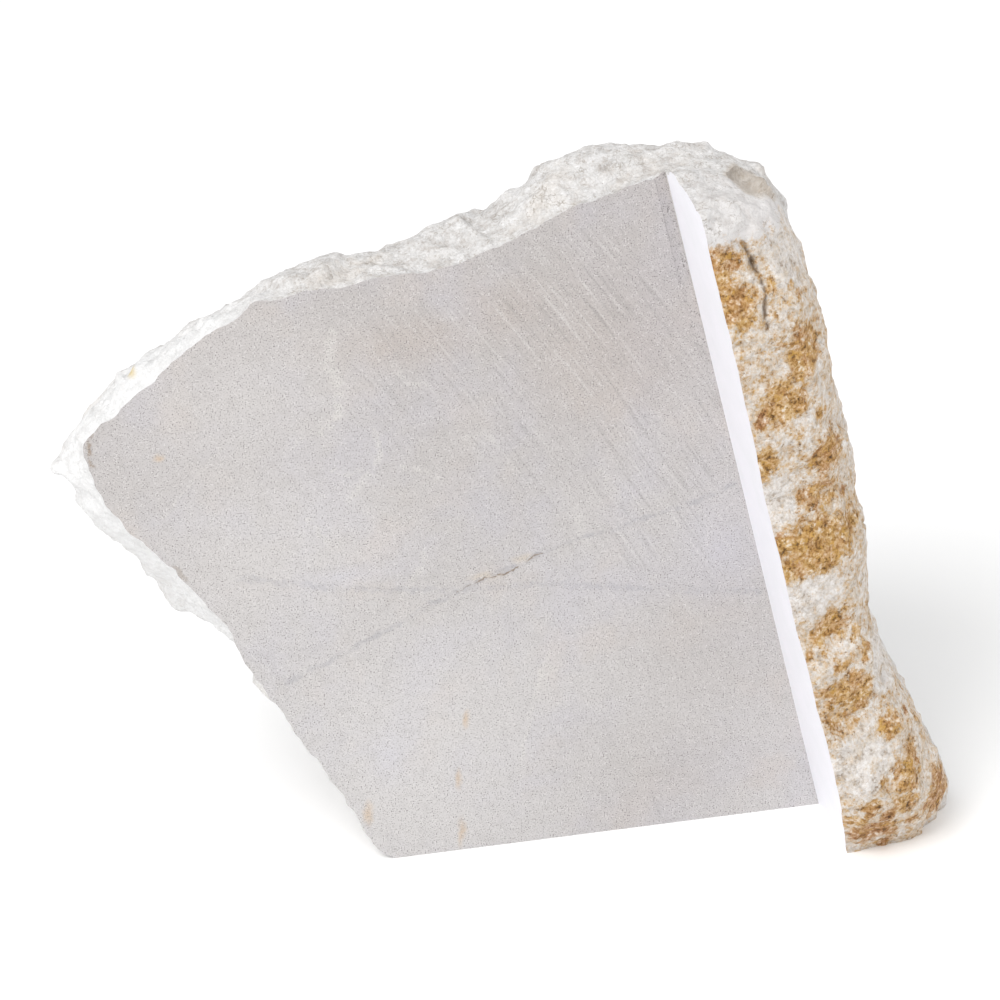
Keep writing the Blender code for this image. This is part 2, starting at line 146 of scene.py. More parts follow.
# Broken surfaces: large tilted facets on the back, smaller sizes all round, then lumps and grit.
BACK_FACET_SIZE = 22.0
BACK_FACET_HEIGHT = 3.2
BACK_FACET_SINK = 0.35
BACK_FACET_SEED = 11
BACK_LEDGE_SIZE = 8.5
BACK_LEDGE_HEIGHT = 1.1
BACK_LEDGE_SEED = 83
BACK_LEDGE_DEPTH = 15.0
RIM_DEPTH = 9.0
BACK_FADE = 8.0
FACET_LAYERS = [(10.0, 0.85, 23), (4.5, 0.32, 37)]
FACET_STEP = 1.2
FACET_TILT = 2.2
FACET_CRISPNESS = 28.0
CHIP_CRISPNESS = 60.0
LUMP_SIZE = 3.2
LUMP_HEIGHT = 0.22
QUIET_NEAR_FACE = 0.3
QUIET_DEPTH = 4.0
CRUST_QUIET = 0.45
UNDERSIDE_FADE = 2.0
CHIP_LAYERS = [(2.3, 0.28, 51), (1.2, 0.2, 67)]
GRIT_SIZE = 0.8
GRIT_HEIGHT = 0.2

# The step's plane leans left going up; the saw ran a little deeper beside it, less going down.
STEP_FOOT_X = 46.64
STEP_LEAN = -0.2401
KERF_WIDTH = 1.75
KERF_LEDGE = 0.03
KERF_FRONT = -1.0
KERF_END_DEPTH = -0.02
KERF_TOP_DEPTH = 0.55
KERF_EDGE_DEPTH = 0.15
KERF_TOP_Z = 104.0
KERF_END_Z = 70.0
PIT_CENTRE = (33.0, -3.4, 99.6)
PIT_RADII = (3.3, 7.5, 4.4)
PIT_TURN = -13.6
CUT_REACH = 90.0
NEAR_PLANE = 0.01
SHARP_ANGLE = 48.0
CUT_LOW = -10.0
CUT_HIGH = 120.0
REST_CUT_REACH = 100.0
REST_CUT_DEPTH = 20.0

# The crack down the upper crust: its lines as (x, z), and for each a depth and a half width.
CRUST_CRACKS = [
    ([(27.9, 97.9), (28.8, 96.1), (29.6, 94.4)], 0.5, 0.34),
    ([(29.2, 95.3), (29.9, 93.6)], 0.85, 0.5),
    ([(30.0, 93.6), (30.7, 91.7), (31.2, 90.3), (30.9, 88.6), (31.5, 85.2)], 0.3, 0.25),
]
CRACK_EDGE = 1.3
CRACK_SHOWS = 0.7
CRACK_SHOWS_EDGE = 1.5
HOLLOW_EDGE = 1.15
HOLLOW_FADE = 0.1

# Iron stains on the crust: x, z, half width, half height, strength, and 0 gold to 1 brown.
STAINS = [
    (24.9, 95.9, 2.2, 4.1, 0.88, 0.4), (26.4, 90.3, 2.7, 4.1, 0.9, 0.35),
    (28.2, 87.2, 1.4, 2.3, 0.8, 0.2), (25.2, 92.6, 0.9, 2.6, 1.0, 0.2),
    (32.2, 91.4, 0.6, 0.6, 0.8, 0.5), (34.7, 90.8, 0.9, 0.8, 0.7, 0.5),
    (36.4, 89.2, 0.6, 0.8, 0.6, 0.5), (35.4, 85.8, 1.0, 1.1, 0.6, 0.4),
    (37.0, 80.9, 2.8, 3.7, 1.0, 0.4), (34.0, 73.9, 4.0, 4.0, 0.9, 0.3),
    (31.1, 72.3, 0.6, 0.8, 1.0, 0.9), (40.6, 71.3, 0.7, 0.8, 0.7, 0.3),
    (31.9, 65.3, 1.5, 2.8, 1.0, 0.2), (41.4, 64.4, 2.6, 3.2, 0.85, 0.5),
    (40.0, 65.4, 0.7, 0.8, 1.0, 0.9), (40.3, 58.3, 4.7, 2.4, 0.7, 0.4),
    (39.9, 50.8, 6.1, 5.4, 1.1, 0.2), (36.7, 51.8, 1.8, 1.7, 1.2, 0.1),
    (42.5, 48.7, 2.2, 1.8, 1.2, 0.3), (35.5, 47.5, 1.0, 2.8, 0.9, 0.15),
    (34.7, 53.2, 0.5, 0.5, 1.0, 0.7), (37.3, 48.7, 0.5, 0.5, 1.0, 0.7),
    (44.3, 56.4, 0.5, 0.5, 1.0, 0.8), (42.9, 38.1, 2.4, 2.1, 0.85, 0.3),
    (41.1, 37.7, 1.3, 1.5, 0.8, 0.3), (46.6, 35.7, 0.7, 0.6, 0.8, 0.4),
    (47.8, 33.2, 0.8, 0.8, 0.8, 0.4), (39.2, 34.1, 1.1, 0.6, 0.8, 0.5),
    (43.7, 33.1, 2.2, 0.6, 0.9, 0.4), (44.9, 28.0, 4.2, 3.7, 0.8, 0.3),
    (42.9, 24.3, 2.5, 2.1, 0.6, 0.3), (46.7, 25.7, 0.8, 1.2, 0.9, 0.3),
    (41.9, 22.4, 1.0, 1.1, 0.6, 0.4), (45.8, 22.5, 0.8, 0.8, 0.5, 0.4),
    (51.6, 21.6, 1.1, 1.7, 0.9, 0.25), (54.3, 21.3, 0.6, 0.5, 0.8, 0.8),
    (50.6, 24.7, 0.6, 0.6, 0.5, 0.4), (54.0, 13.8, 2.1, 4.0, 0.85, 0.35),
    (53.5, 9.0, 2.8, 1.7, 0.7, 0.35), (48.2, 10.0, 1.1, 1.2, 1.2, 0.35),
    (49.7, 13.7, 0.7, 0.8, 0.8, 0.35), (47.1, 16.1, 0.7, 0.8, 0.6, 0.3),
    (49.2, 4.7, 2.4, 2.0, 1.2, 0.8), (46.3, 7.5, 1.9, 1.4, 0.8, 0.3),
    (51.8, 7.9, 1.1, 0.8, 1.0, 0.9), (52.3, 4.3, 1.0, 1.4, 0.8, 0.5),
    (51.3, 1.0, 1.7, 0.9, 0.8, 0.6), (55.3, 5.0, 0.6, 0.5, 0.9, 0.8),
    (60.5, 7.0, 2.4, 4.6, 0.95, 0.8), (45.5, 52.0, 1.6, 5.0, 0.7, 0.15),
    (38.5, 43.5, 5.0, 2.4, -1.0, 0.0), (47.0, 17.0, 3.6, 3.4, -1.0, 0.0),
    (52.0, 30.0, 3.0, 4.0, -0.6, 0.0), (35.5, 95.0, 3.0, 4.5, -0.6, 0.0),
    (34.0, 58.5, 2.0, 2.6, -0.9, 0.0),
]
STAIN_RIM = 0.45
STAIN_RIM_SHARE = 0.42
STAIN_RIM_MOST = 1.6
STAIN_EDGE = 1.6
STAIN_SWAY = [(2.6, 1.3), (1.0, 0.5)]
STAIN_EVERYWHERE = 0.3
BROWN_BETWEEN = 0.35
STAIN_SEED = 5
CRUST_BACK = 7.0
CRUST_TURN = 15.0
CRUST_WANDER = 9.0
CRUST_WANDER_SIZE = 12.0
CRUST_LEFT_FADE = 2.0
CRUST_TOP_Z = 100.5
CRUST_FADE = 5.0
BLADE_HUB = (-317.0, 0.0, -149.0)
GRAIN_CONTRAST = 0.16

# Markings on the flat face; points are (x, z).
BROWN_CRACK = [(-6.2, 41.3), (-2.0, 42.8), (-0.1, 43.1), (4.1, 45.1), (6.3, 45.9)]
RISING_LINE = [(-31.1, 29.6), (-26.5, 31.8), (-19.2, 35.0), (-12.1, 38.5), (-6.2, 41.3),
               (6.3, 45.9), (10.5, 47.4), (15.7, 48.0), (20.8, 49.6), (25.4, 50.6), (33.0, 52.9)]
FALLING_LINE = [(-36.0, 47.5), (-29.6, 45.6), (-22.3, 44.0), (-15.2, 42.9), (-6.0, 41.5),
                (6.2, 41.0), (14.1, 39.6), (22.0, 38.2), (29.2, 37.0), (36.6, 35.8)]
LEFT_CRACK = [(-45.0, 50.5), (-43.1, 47.8)]
CORNER_CHIP = [(-55.2, 71.4), (-55.7, 69.4), (-54.9, 66.6)]
HAIRLINES = [
    (RISING_LINE, 0.6, 0.34, (0.27, 0.27, 0.31, 1.0)),
    (FALLING_LINE, 0.75, 0.26, (0.29, 0.29, 0.34, 1.0)),
    (BROWN_CRACK, 0.15, 0.85, (0.2, 0.13, 0.07, 1.0)),
    (CORNER_CHIP, 0.5, 0.75, (0.27, 0.20, 0.14, 1.0)),
    (LEFT_CRACK, 0.5, 0.5, (0.30, 0.24, 0.18, 1.0)),
]
# Pale smears and scratches: points, half width, and strength.
SMEARS = [
    ([(-22.6, 82.5), (-23.4, 78.0), (-21.8, 74.5), (-22.0, 70.5), (-24.2, 68.0)], 1.12, 0.36),
    ([(-14.6, 76.5), (-12.8, 74.0), (-10.5, 73.2)], 0.75, 0.27),
    ([(-17.2, 67.5), (-16.4, 63.5), (-18.6, 60.2), (-21.0, 57.0)], 0.75, 0.3),
    ([(-13.5, 61.0), (-10.2, 60.6), (-8.4, 58.4)], 0.68, 0.24),
    ([(-22.8, 62.0), (-20.6, 60.8), (-19.0, 61.8)], 0.6, 0.24),
    ([(-26.5, 55.0), (-24.0, 51.4)], 0.83, 0.27),
    ([(-10.6, 48.2), (-11.4, 45.2), (-13.4, 41.5)], 0.75, 0.27),
    ([(-5.2, 64.8), (-2.6, 65.0), (-0.8, 63.6)], 0.75, 0.24),
    ([(6.9, 30.0), (5.4, 25.8), (4.2, 19.6), (2.8, 13.0)], 0.52, 0.27),
    ([(6.2, 27.0), (8.2, 28.0)], 1.2, 0.24),
    ([(-46.0, 58.0), (-38.0, 67.0)], 0.38, 0.21),
    ([(-28.5, 66.0), (-24.0, 70.0)], 0.38, 0.18),
    ([(10.5, 52.0), (12.2, 46.5)], 1.2, 0.21),
    ([(14.0, 57.5), (16.5, 52.6)], 1.05, 0.18),
]
SMEAR_STRENGTH = 1.4
SMEAR_PALE = (0.66, 0.64, 0.61, 1.0)
SAWN_PALE = (0.66, 0.64, 0.62, 1.0)
SAWN_DARK = (0.26, 0.245, 0.235, 1.0)
# Where the blade's marks are clear: x, z, half width, half height, and how clear.
ARC_FIELDS = [
    (10.0, 84.0, 28.0, 24.0, 1.25), (24.0, 56.0, 24.0, 30.0, 1.1), (-10.0, 78.0, 24.0, 20.0, 0.9),
    (12.0, 68.0, 42.0, 44.0, 0.8),
]
BLADE_MARKS_EVERYWHERE = 0.2
BLADE_PITCH = 0.42
BLADE_STROKE = 11.0
BLADE_STEP = 1.15
BLADE_SWEEP = 18.0
BLADE_STEP_SHARE = 0.45
BLADE_LIGHT = 0.45
BLADE_DARK = 0.33
# Soft spots on the flat face: x, z, half width, half height.
OCHRE_SPOTS = [
    (-5.5, 2.8, 0.9, 3.4), (-4.7, 21.2, 0.7, 2.2), (-18.8, 7.8, 1.1, 3.0),
    (-46.3, 66.6, 1.3, 0.9), (-6.0, 11.5, 0.6, 2.4),
]
COOL_SPOTS = [(-21.0, 45.8, 9.0, 2.6), (-15.6, 16.0, 5.0, 6.5), (30.0, 44.0, 9.0, 12.0)]
LIGHT_SPOTS = [(-12.0, 18.0, 24.0, 30.0), (-34.0, 74.0, 26.0, 20.0), (-30.0, 52.0, 26.0, 22.0)]
DIM_SPOTS = [(16.0, 84.0, 22.0, 18.0), (24.0, 10.0, 26.0, 20.0), (30.0, 28.0, 22.0, 26.0)]
CRACK_TINGE = [(-2.0, 43.2, 3.6, 1.0), (3.4, 45.4, 2.6, 0.9)]
WARM_SPOTS = [(2.0, 83.0, 12.0, 8.0), (-12.0, 80.0, 16.0, 6.0), (14.0, 78.0, 18.0, 18.0)]


def loop_radius(loop, angles):
    """Distance of an outline from the middle line at each angle."""
    points = np.array(loop) - MIDDLE
    share = np.linspace(0.0, 1.0, LOOP_STEPS, endpoint=False)[:, None]
    following = np.roll(points, -1, axis=0)
    fine = (points[:, None] * (1 - share) + following[:, None] * share).reshape(-1, 2)
    turn = np.arctan2(fine[:, 1], fine[:, 0])
    order = np.argsort(turn)
    return np.interp(angles, turn[order], np.hypot(*fine.T)[order], period=2 * np.pi)


def curve_through(depths, radii, wanted):
    """Smooth curves through the radii of all outlines, one for each angle."""
    slopes = np.gradient(radii, depths, axis=0)
    index = np.clip(np.searchsorted(depths, wanted) - 1, 0, len(depths) - 2)
    span = (depths[index + 1] - depths[index])[:, None]
    t = (wanted - depths[index])[:, None] / span
    rise = (3 - 2 * t) * t * t
    start = radii[index] * (1 - rise) + radii[index + 1] * rise
    bend = slopes[index] * (t - 1) * (t - 1) * t + slopes[index + 1] * (t - 1) * t * t
    return start + span * bend


def mesh_object(name, points, faces):
    """A new object from points in millimetres, its faces turned outward."""
    mesh = bpy.data.meshes.new(name)
    mesh.from_pydata([tuple(p) for p in np.asarray(points) * MM], [], faces)
    work = bmesh.new()
    work.from_mesh(mesh)
    bmesh.ops.recalc_face_normals(work, faces=work.faces)
    work.to_mesh(mesh)
    work.free()
    obj = bpy.data.objects.new(name, mesh)
    bpy.context.scene.collection.objects.link(obj)
    return obj


def rough_block():
    """The block before sawing, as a closed tube of rings through the outlines."""
    angles = np.linspace(-np.pi, np.pi, ANGLE_COUNT, endpoint=False)
    depths = np.array([depth for depth, _ in DEPTH_OUTLINES])
    radii = np.array([loop_radius(loop, angles) for _, loop in DEPTH_OUTLINES])
    rows = np.arange(depths[0], depths[-1] + DEPTH_STEP / 2, DEPTH_STEP)
    rings = curve_through(depths, radii, rows)
    x = MIDDLE[0] + rings * np.cos(angles)
    z = MIDDLE[1] + rings * np.sin(angles)
    y = np.repeat(rows[:, None], ANGLE_COUNT, axis=1)
    points = np.stack([x, y, z], axis=-1).reshape(-1, 3)
    ends = [(MIDDLE[0], rows[0], MIDDLE[1]), (MIDDLE[0], rows[-1], MIDDLE[1])]
    points = np.vstack([points, ends])
    setback = np.interp(points[:, 2], *zip(*CRUST_SETBACK))
    share = (-points[:, 1] - SETBACK_FROM) / (SETBACK_FULL - SETBACK_FROM)
    points[:, 1] += setback * np.clip(share, 0, 1)
    faces = []
    last = (len(rows) - 1) * ANGLE_COUNT
    for i in range(ANGLE_COUNT):
        j = (i + 1) % ANGLE_COUNT
        faces.append((len(points) - 2, i, j))
        faces.append((len(points) - 1, last + j, last + i))
        for row in range(len(rows) - 1):
            a = row * ANGLE_COUNT
            b = a + ANGLE_COUNT
            faces.append((a + i, b + i, b + j, a + j))
    return mesh_object("limestone_block_form", points, faces)


def settle(obj):
    """Makes the modifiers of an object part of its mesh."""
    seen = obj.evaluated_get(bpy.context.evaluated_depsgraph_get())
    mesh = bpy.data.meshes.new_from_object(seen)
    obj.modifiers.clear()
    obj.data = mesh


def cell_value(cells, channel):
    """A fixed scattered number between 0 and 1 for each whole-number cell."""
    mixed = cells @ np.array([73856093, 19349663, 83492791]) + channel * 2654435761
    mixed = (mixed ^ (mixed >> 13)) * 1274126177
    mixed = (mixed ^ (mixed >> 16)) & 0xFFFFFF
    return mixed / float(0xFFFFFF)


def facets(points, size, seed, crispness=FACET_CRISPNESS):
    """Tilted flat facets with short steep steps between them, between about -1 and 1."""
    grid = points / size
    base = np.floor(grid).astype(np.int64)
    distances = []
    heights = []
    for step in np.ndindex(3, 3, 3):
        cell = base + np.array(step) - 1
        jitter = np.stack([cell_value(cell, seed + k) for k in range(3)], axis=-1)
        offset = grid - (cell + jitter)
        tilt = np.stack([cell_value(cell, seed + 3 + k) for k in range(3)], axis=-1) - 0.5
        level = (cell_value(cell, seed + 6) - 0.5) * FACET_STEP
        distances.append((offset ** 2).sum(axis=1))
        heights.append(level + (tilt * offset).sum(axis=1) * FACET_TILT)
    distances = np.array(distances)
    weights = np.exp(crispness * (distances.min(axis=0) - distances))
    return (weights * heights).sum(axis=0) / weights.sum(axis=0)


def near_line(points, line):
    """Distance of each (x, z) point from a line of points."""
    flat = points[:, (0, 2)]
    nearest = np.full(len(flat), 1e9)
    for start, end in zip(line, line[1:]):
        start = np.array(start)
        along = np.array(end) - start
        share = np.clip((flat - start) @ along / (along @ along), 0, 1)
        nearest = np.minimum(nearest, np.hypot(*(flat - start - share[:, None] * along).T))
    return nearest


def broken_relief(points):
    """How far each point of the skin moves out or in, in millimetres."""
    depth = points[:, 1]
    behind_rim = np.clip((depth - RIM_DEPTH) / BACK_FADE, 0, 1)
    large = facets(points, BACK_FACET_SIZE, BACK_FACET_SEED) - BACK_FACET_SINK
    ledges = facets(points, BACK_LEDGE_SIZE, BACK_LEDGE_SEED, CHIP_CRISPNESS)
    relief = large * BACK_FACET_HEIGHT * behind_rim
    relief += ledges * BACK_LEDGE_HEIGHT * np.clip((depth - BACK_LEDGE_DEPTH) / BACK_FADE, 0, 1)
    for size, height, seed in FACET_LAYERS:
        relief += facets(points, size, seed) * height
    lumps = [noise.fractal(Vector(p / LUMP_SIZE), 1.0, 2.0, 2) for p in points]
    relief += np.array(lumps) * LUMP_HEIGHT
    from_face = np.clip(np.abs(depth) / QUIET_DEPTH, 0, 1)
    relief *= QUIET_NEAR_FACE + (1 - QUIET_NEAR_FACE) * from_face
    on_ridge = np.clip((-depth - QUIET_DEPTH) / QUIET_DEPTH, 0, 1)
    relief *= 1 - (1 - CRUST_QUIET) * on_ridge
    for size, height, seed in CHIP_LAYERS:
        relief += facets(points, size, seed, CHIP_CRISPNESS) * height
    grit = [noise.fractal(Vector(p / GRIT_SIZE), 0.8, 2.0, 2) for p in points]
    relief += np.array(grit) * GRIT_HEIGHT
    for line, crack_depth, half_width in CRUST_CRACKS:
        crack = np.clip(CRACK_EDGE - near_line(points, line) / half_width, 0, 1)
        relief -= crack * crack_depth * (depth < -SETBACK_FULL)
    return relief * np.clip(1 + points[:, 2] / UNDERSIDE_FADE, 0, 1)


def even_skin(obj):
    """One closed skin of even faces in place of the object's surface."""
    skin = obj.modifiers.new("even skin", "REMESH")
    skin.mode = "VOXEL"
    skin.voxel_size = SKIN_VOXEL * MM
    settle(obj)


def weathered_skin(obj):
    """An even skin over the block, moved along its normals by the broken relief."""
    even_skin(obj)
    mesh = obj.data
    points = np.empty(len(mesh.vertices) * 3)
    mesh.vertices.foreach_get("co", points)
    points = points.reshape(-1, 3) / MM
    normals = np.array([vertex.normal for vertex in mesh.vertices])
    points += normals * broken_relief(points)[:, None]
    mesh.vertices.foreach_set("co", (points * MM).ravel())
    mesh.update()
    even_skin(obj)


def thin_out(obj):
    """Fewer faces far behind the rim, where the stone's facets are broad."""
    behind = obj.vertex_groups.new(name="behind")
    chosen = [v.index for v in obj.data.vertices
              if v.co.y > THIN_FROM * MM and v.co.z > THIN_ABOVE * MM]
    behind.add(chosen, 1.0, "REPLACE")
    triangles = sum(len(face.vertices) - 2 for face in obj.data.polygons)
    thin = obj.modifiers.new("thin out", "DECIMATE")
    thin.vertex_group = behind.name
    thin.ratio = min(1.0, SKIN_TRIANGLES / triangles)
    settle(obj)
    obj.vertex_groups.clear()


def prism(name, outline, front, back):
    """A cutter with an outline of (x, z) points between two depths."""
    count = len(outline)
    points = [(x, front, z) for x, z in outline] + [(x, back, z) for x, z in outline]
    faces = [tuple(range(count)), tuple(reversed(range(count, 2 * count)))]
    for i in range(count):
        j = (i + 1) % count
        faces.append((i, i + count, j + count, j))
    return mesh_object(name, points, faces)


def combine(obj, other, operation):
    """Adds the other object's volume to the object, or takes it away."""
    step = obj.modifiers.new("combine", "BOOLEAN")
    step.operation = operation
    step.solver = "EXACT"
    step.object = other
    settle(obj)
    bpy.data.objects.remove(other)


def step_x(z):
    """Where the plane of the step lies at a height."""
    return STEP_FOOT_X + STEP_LEAN * z


def saw_cut():
    """The saw's waste: all in front of the flat face and left of the step."""
    outline = [(-CUT_REACH, CUT_LOW), (-CUT_REACH, CUT_HIGH), (step_x(CUT_HIGH), CUT_HIGH),
               (step_x(CUT_LOW), CUT_LOW)]
    return prism("saw_cut", outline, -CUT_REACH, 0.0)


def kerf():
    """The shallow slot at the foot of the step, deepest at the top."""
    x_low = step_x(KERF_END_Z) - KERF_LEDGE
    x_top = step_x(KERF_TOP_Z) - KERF_LEDGE
    points = [
        (x_low - KERF_WIDTH, KERF_FRONT, KERF_END_Z), (x_low, KERF_FRONT, KERF_END_Z),
        (x_top, KERF_FRONT, KERF_TOP_Z), (x_top - KERF_WIDTH, KERF_FRONT, KERF_TOP_Z),
        (x_low - KERF_WIDTH, KERF_END_DEPTH, KERF_END_Z), (x_low, KERF_END_DEPTH, KERF_END_Z),
        (x_top, KERF_TOP_DEPTH, KERF_TOP_Z), (x_top - KERF_WIDTH, KERF_EDGE_DEPTH, KERF_TOP_Z),
    ]
    faces = [(0, 1, 2, 3), (7, 6, 4), (6, 5, 4), (0, 4, 5, 1), (1, 5, 6, 2), (2, 6, 7, 3),
             (3, 7, 4, 0)]
    return mesh_object("kerf", points, faces)


def pit():
    """The round hollow near the top of the ridge."""
    turn = np.array(Matrix.Rotation(math.radians(PIT_TURN), 3, "Z"))
    work = bmesh.new()
    bmesh.ops.create_icosphere(work, subdivisions=4, radius=1.0)
    points = [turn @ (np.array(v.co) * PIT_RADII) + PIT_CENTRE for v in work.verts]
    faces = [tuple(v.index for v in face.verts) for face in work.faces]
    work.free()
    return mesh_object("pit", points, faces)


def resting_cut():
    """Everything below the resting face."""
    reach = REST_CUT_REACH
    outline = [(-reach, -REST_CUT_DEPTH), (-reach, 0.0), (reach, 0.0), (reach, -REST_CUT_DEPTH)]
    return prism("resting_cut", outline, -reach, reach)


# Materials

MEASURES = ("LENGTH", "DISTANCE", "DOT_PRODUCT")


def add(tree, kind, settings=None, **values):
    """A node with its settings; each value goes to the socket of that name or number."""
    node = tree.nodes.new(kind)
    for name, value in (settings or {}).items():
        setattr(node, name, value)
    for name, value in values.items():
        key = int(name[1:]) if name[0] == "_" else name.replace("_", " ")
        socket = node.inputs[key]
        if isinstance(value, bpy.types.NodeSocket):
            tree.links.new(value, socket)
        else:
            socket.default_value = value
    count = len(tree.nodes)
    node.location = (220 * (count % 12), -260 * (count // 12))
    return node


def math_of(tree, operation, a, b=0.0, c=0.0):
    """One sum or comparison of values."""
    return add(tree, "ShaderNodeMath", {"operation": operation}, _0=a, _1=b, _2=c).outputs[0]


def vector_of(tree, operation, a, b=(0.0, 0.0, 0.0), c=(0.0, 0.0, 0.0), scale=1.0):
    """One sum or measure of vectors."""
    node = add(tree, "ShaderNodeVectorMath", {"operation": operation}, _0=a, _1=b, _2=c,
               _3=scale)
    return node.outputs["Value" if operation in MEASURES else "Vector"]


def ramp(tree, value, low, high, start=0.0, end=1.0):
    """Goes smoothly from start to end while the value goes from low to high."""
    settings = {"interpolation_type": "SMOOTHSTEP"}
    return add(tree, "ShaderNodeMapRange", settings, _0=value, _1=low, _2=high, _3=start,
               _4=end).outputs[0]


def blend_colour(tree, share, a, b):
    """Colour a turning into colour b by a share from 0 to 1."""
    return add(tree, "ShaderNodeMix", {"data_type": "RGBA"}, _0=share, _6=a, _7=b).outputs[2]


def speckle(tree, where, size, detail=2.0, roughness=0.6):
    """Noise around 0.5 with spots of about a given size in millimetres."""
    return add(tree, "ShaderNodeTexNoise", Vector=where, Scale=1.0 / size, Detail=detail,
               Roughness=roughness).outputs[0]


def colour(red, green, blue):
    """A colour from its screen values, 0 to 255."""
    def linear(value):
        value /= 255
        return value / 12.92 if value <= 0.04045 else ((value + 0.055) / 1.055) ** 2.4
    return (linear(red), linear(green), linear(blue), 1.0)


def new_group(name, inputs, outputs):
    """An empty node group with named sockets, its start and its end."""
    tree = bpy.data.node_groups.new(name, "ShaderNodeTree")
    for socket, kind in inputs:
        tree.interface.new_socket(socket, in_out="INPUT", socket_type=kind)
    for socket, kind in outputs:
        tree.interface.new_socket(socket, in_out="OUTPUT", socket_type=kind)
    start = add(tree, "NodeGroupInput")
    end = add(tree, "NodeGroupOutput")
    return tree, start, end


def use(tree, group, **values):
    """A node that runs a group."""
    return add(tree, "ShaderNodeGroup", {"node_tree": group}, **values)


FLOAT = "NodeSocketFloat"
VECTOR = "NodeSocketVector"


def stone_millimetres():
    """Position on the stone in millimetres from the foot of the flat face."""
    tree, _, end = new_group("stone millimetres", [], [("Position", VECTOR)])
    where = add(tree, "ShaderNodeTexCoord").outputs["Object"]
    scaled = vector_of(tree, "SCALE", where, scale=1 / MM)
    moved = vector_of(tree, "SUBTRACT", scaled, (PLACE[0], PLACE[1], 0.0))
    tree.links.new(moved, end.inputs["Position"])
    return tree


def stone_grain():
    """Fine grain of the rock: how dark, how bright, and its height."""
    tree, start, end = new_group(
        "stone grain", [("Position", VECTOR), ("Size", FLOAT)],
        [("Dark", FLOAT), ("Bright", FLOAT), ("Height", FLOAT)])
    size = math_of(tree, "DIVIDE", 1.0, start.outputs["Size"])
    scaled = vector_of(tree, "SCALE", start.outputs["Position"], scale=size)
    grain = speckle(tree, scaled, 1.0, 1.0)
    spots = add(tree, "ShaderNodeTexVoronoi", Vector=scaled, Scale=0.55).outputs["Color"]
    lucky = add(tree, "ShaderNodeSeparateColor", Color=spots).outputs[0]
    tree.links.new(ramp(tree, grain, 0.47, 0.3), end.inputs["Dark"])
    bright = math_of(tree, "MULTIPLY", ramp(tree, grain, 0.5, 0.66), ramp(tree, lucky, 0.6, 0.9))
    tree.links.new(bright, end.inputs["Bright"])
    tree.links.new(grain, end.inputs["Height"])
    return tree


def saw_marks():
    """Short fine scratches along the arcs of a round blade: their shade and height."""
    tree, start, end = new_group(
        "saw marks", [("Position", VECTOR), ("Pitch", FLOAT), ("Length", FLOAT)],
        [("Shade", FLOAT), ("Height", FLOAT)])
    where = start.outputs["Position"]
    from_hub = vector_of(tree, "SUBTRACT", where, BLADE_HUB)
    apart = add(tree, "ShaderNodeSeparateXYZ", Vector=from_hub).outputs
    radius = vector_of(tree, "LENGTH", from_hub)
    turn = math_of(tree, "ARCTAN2", apart["Z"], apart["X"])
    wander = math_of(tree, "MULTIPLY", speckle(tree, where, 22.0, 1.0), 1.2)
    across = math_of(tree, "DIVIDE", math_of(tree, "ADD", radius, wander), start.outputs["Pitch"])
    arc = math_of(tree, "MULTIPLY", turn, radius)
    along = math_of(tree, "DIVIDE", arc, start.outputs["Length"])
    lines = add(tree, "ShaderNodeCombineXYZ", X=across, Y=along).outputs[0]
    height = add(tree, "ShaderNodeTexNoise", Vector=lines, Scale=1.0, Detail=1.0,
                 Roughness=0.5).outputs[0]
    tree.links.new(math_of(tree, "SUBTRACT", height, 0.5), end.inputs["Shade"])
    tree.links.new(height, end.inputs["Height"])
    return tree


def chips():
    """Angular broken chips: a shade for each chip and the height of its tilted face."""
    tree, start, end = new_group(
        "chips", [("Position", VECTOR), ("Size", FLOAT), ("Warp", FLOAT)],
        [("Shade", FLOAT), ("Height", FLOAT)])
    size = start.outputs["Size"]
    sizes = add(tree, "ShaderNodeCombineXYZ", X=size, Y=size, Z=size).outputs[0]
    scaled = vector_of(tree, "DIVIDE", start.outputs["Position"], sizes)
    noisy = add(tree, "ShaderNodeTexNoise", Vector=scaled, Scale=1.3, Detail=3.0)
    shift = vector_of(tree, "SCALE", noisy.outputs["Color"], scale=start.outputs["Warp"])
    bent = vector_of(tree, "ADD", scaled, shift)
    cells = add(tree, "ShaderNodeTexVoronoi", Vector=bent, Scale=1.0).outputs
    tilt = vector_of(tree, "SUBTRACT", cells["Color"], (0.5, 0.5, 0.5))
    offset = vector_of(tree, "SUBTRACT", bent, cells["Position"])
    slope = vector_of(tree, "DOT_PRODUCT", tilt, offset)
    shade = add(tree, "ShaderNodeSeparateColor", Color=cells["Color"]).outputs[2]
    level = math_of(tree, "MULTIPLY", shade, 0.35)
    tree.links.new(shade, end.inputs["Shade"])
    tree.links.new(math_of(tree, "MULTIPLY_ADD", slope, 2.0, level), end.inputs["Height"])
    return tree


def hairline():
    """How strongly a point lies on a thin wavering line between two ends."""
    vectors = [(socket, VECTOR) for socket in ("Position", "Start", "End")]
    tree, start, end = new_group("hairline", vectors + [("Half Width", FLOAT)],
                                 [("Mask", FLOAT)])
    points = start.outputs
    along = vector_of(tree, "SUBTRACT", points["End"], points["Start"])
    reach = vector_of(tree, "SUBTRACT", points["Position"], points["Start"])
    dots = [vector_of(tree, "DOT_PRODUCT", a, along) for a in (reach, along)]
    share = add(tree, "ShaderNodeClamp", Value=math_of(tree, "DIVIDE", *dots)).outputs[0]
    away = vector_of(tree, "DISTANCE", reach, vector_of(tree, "SCALE", along, scale=share))
    inner = math_of(tree, "MULTIPLY", points["Half Width"], 0.3)
    tree.links.new(ramp(tree, away, points["Half Width"], inner), end.inputs["Mask"])
    return tree


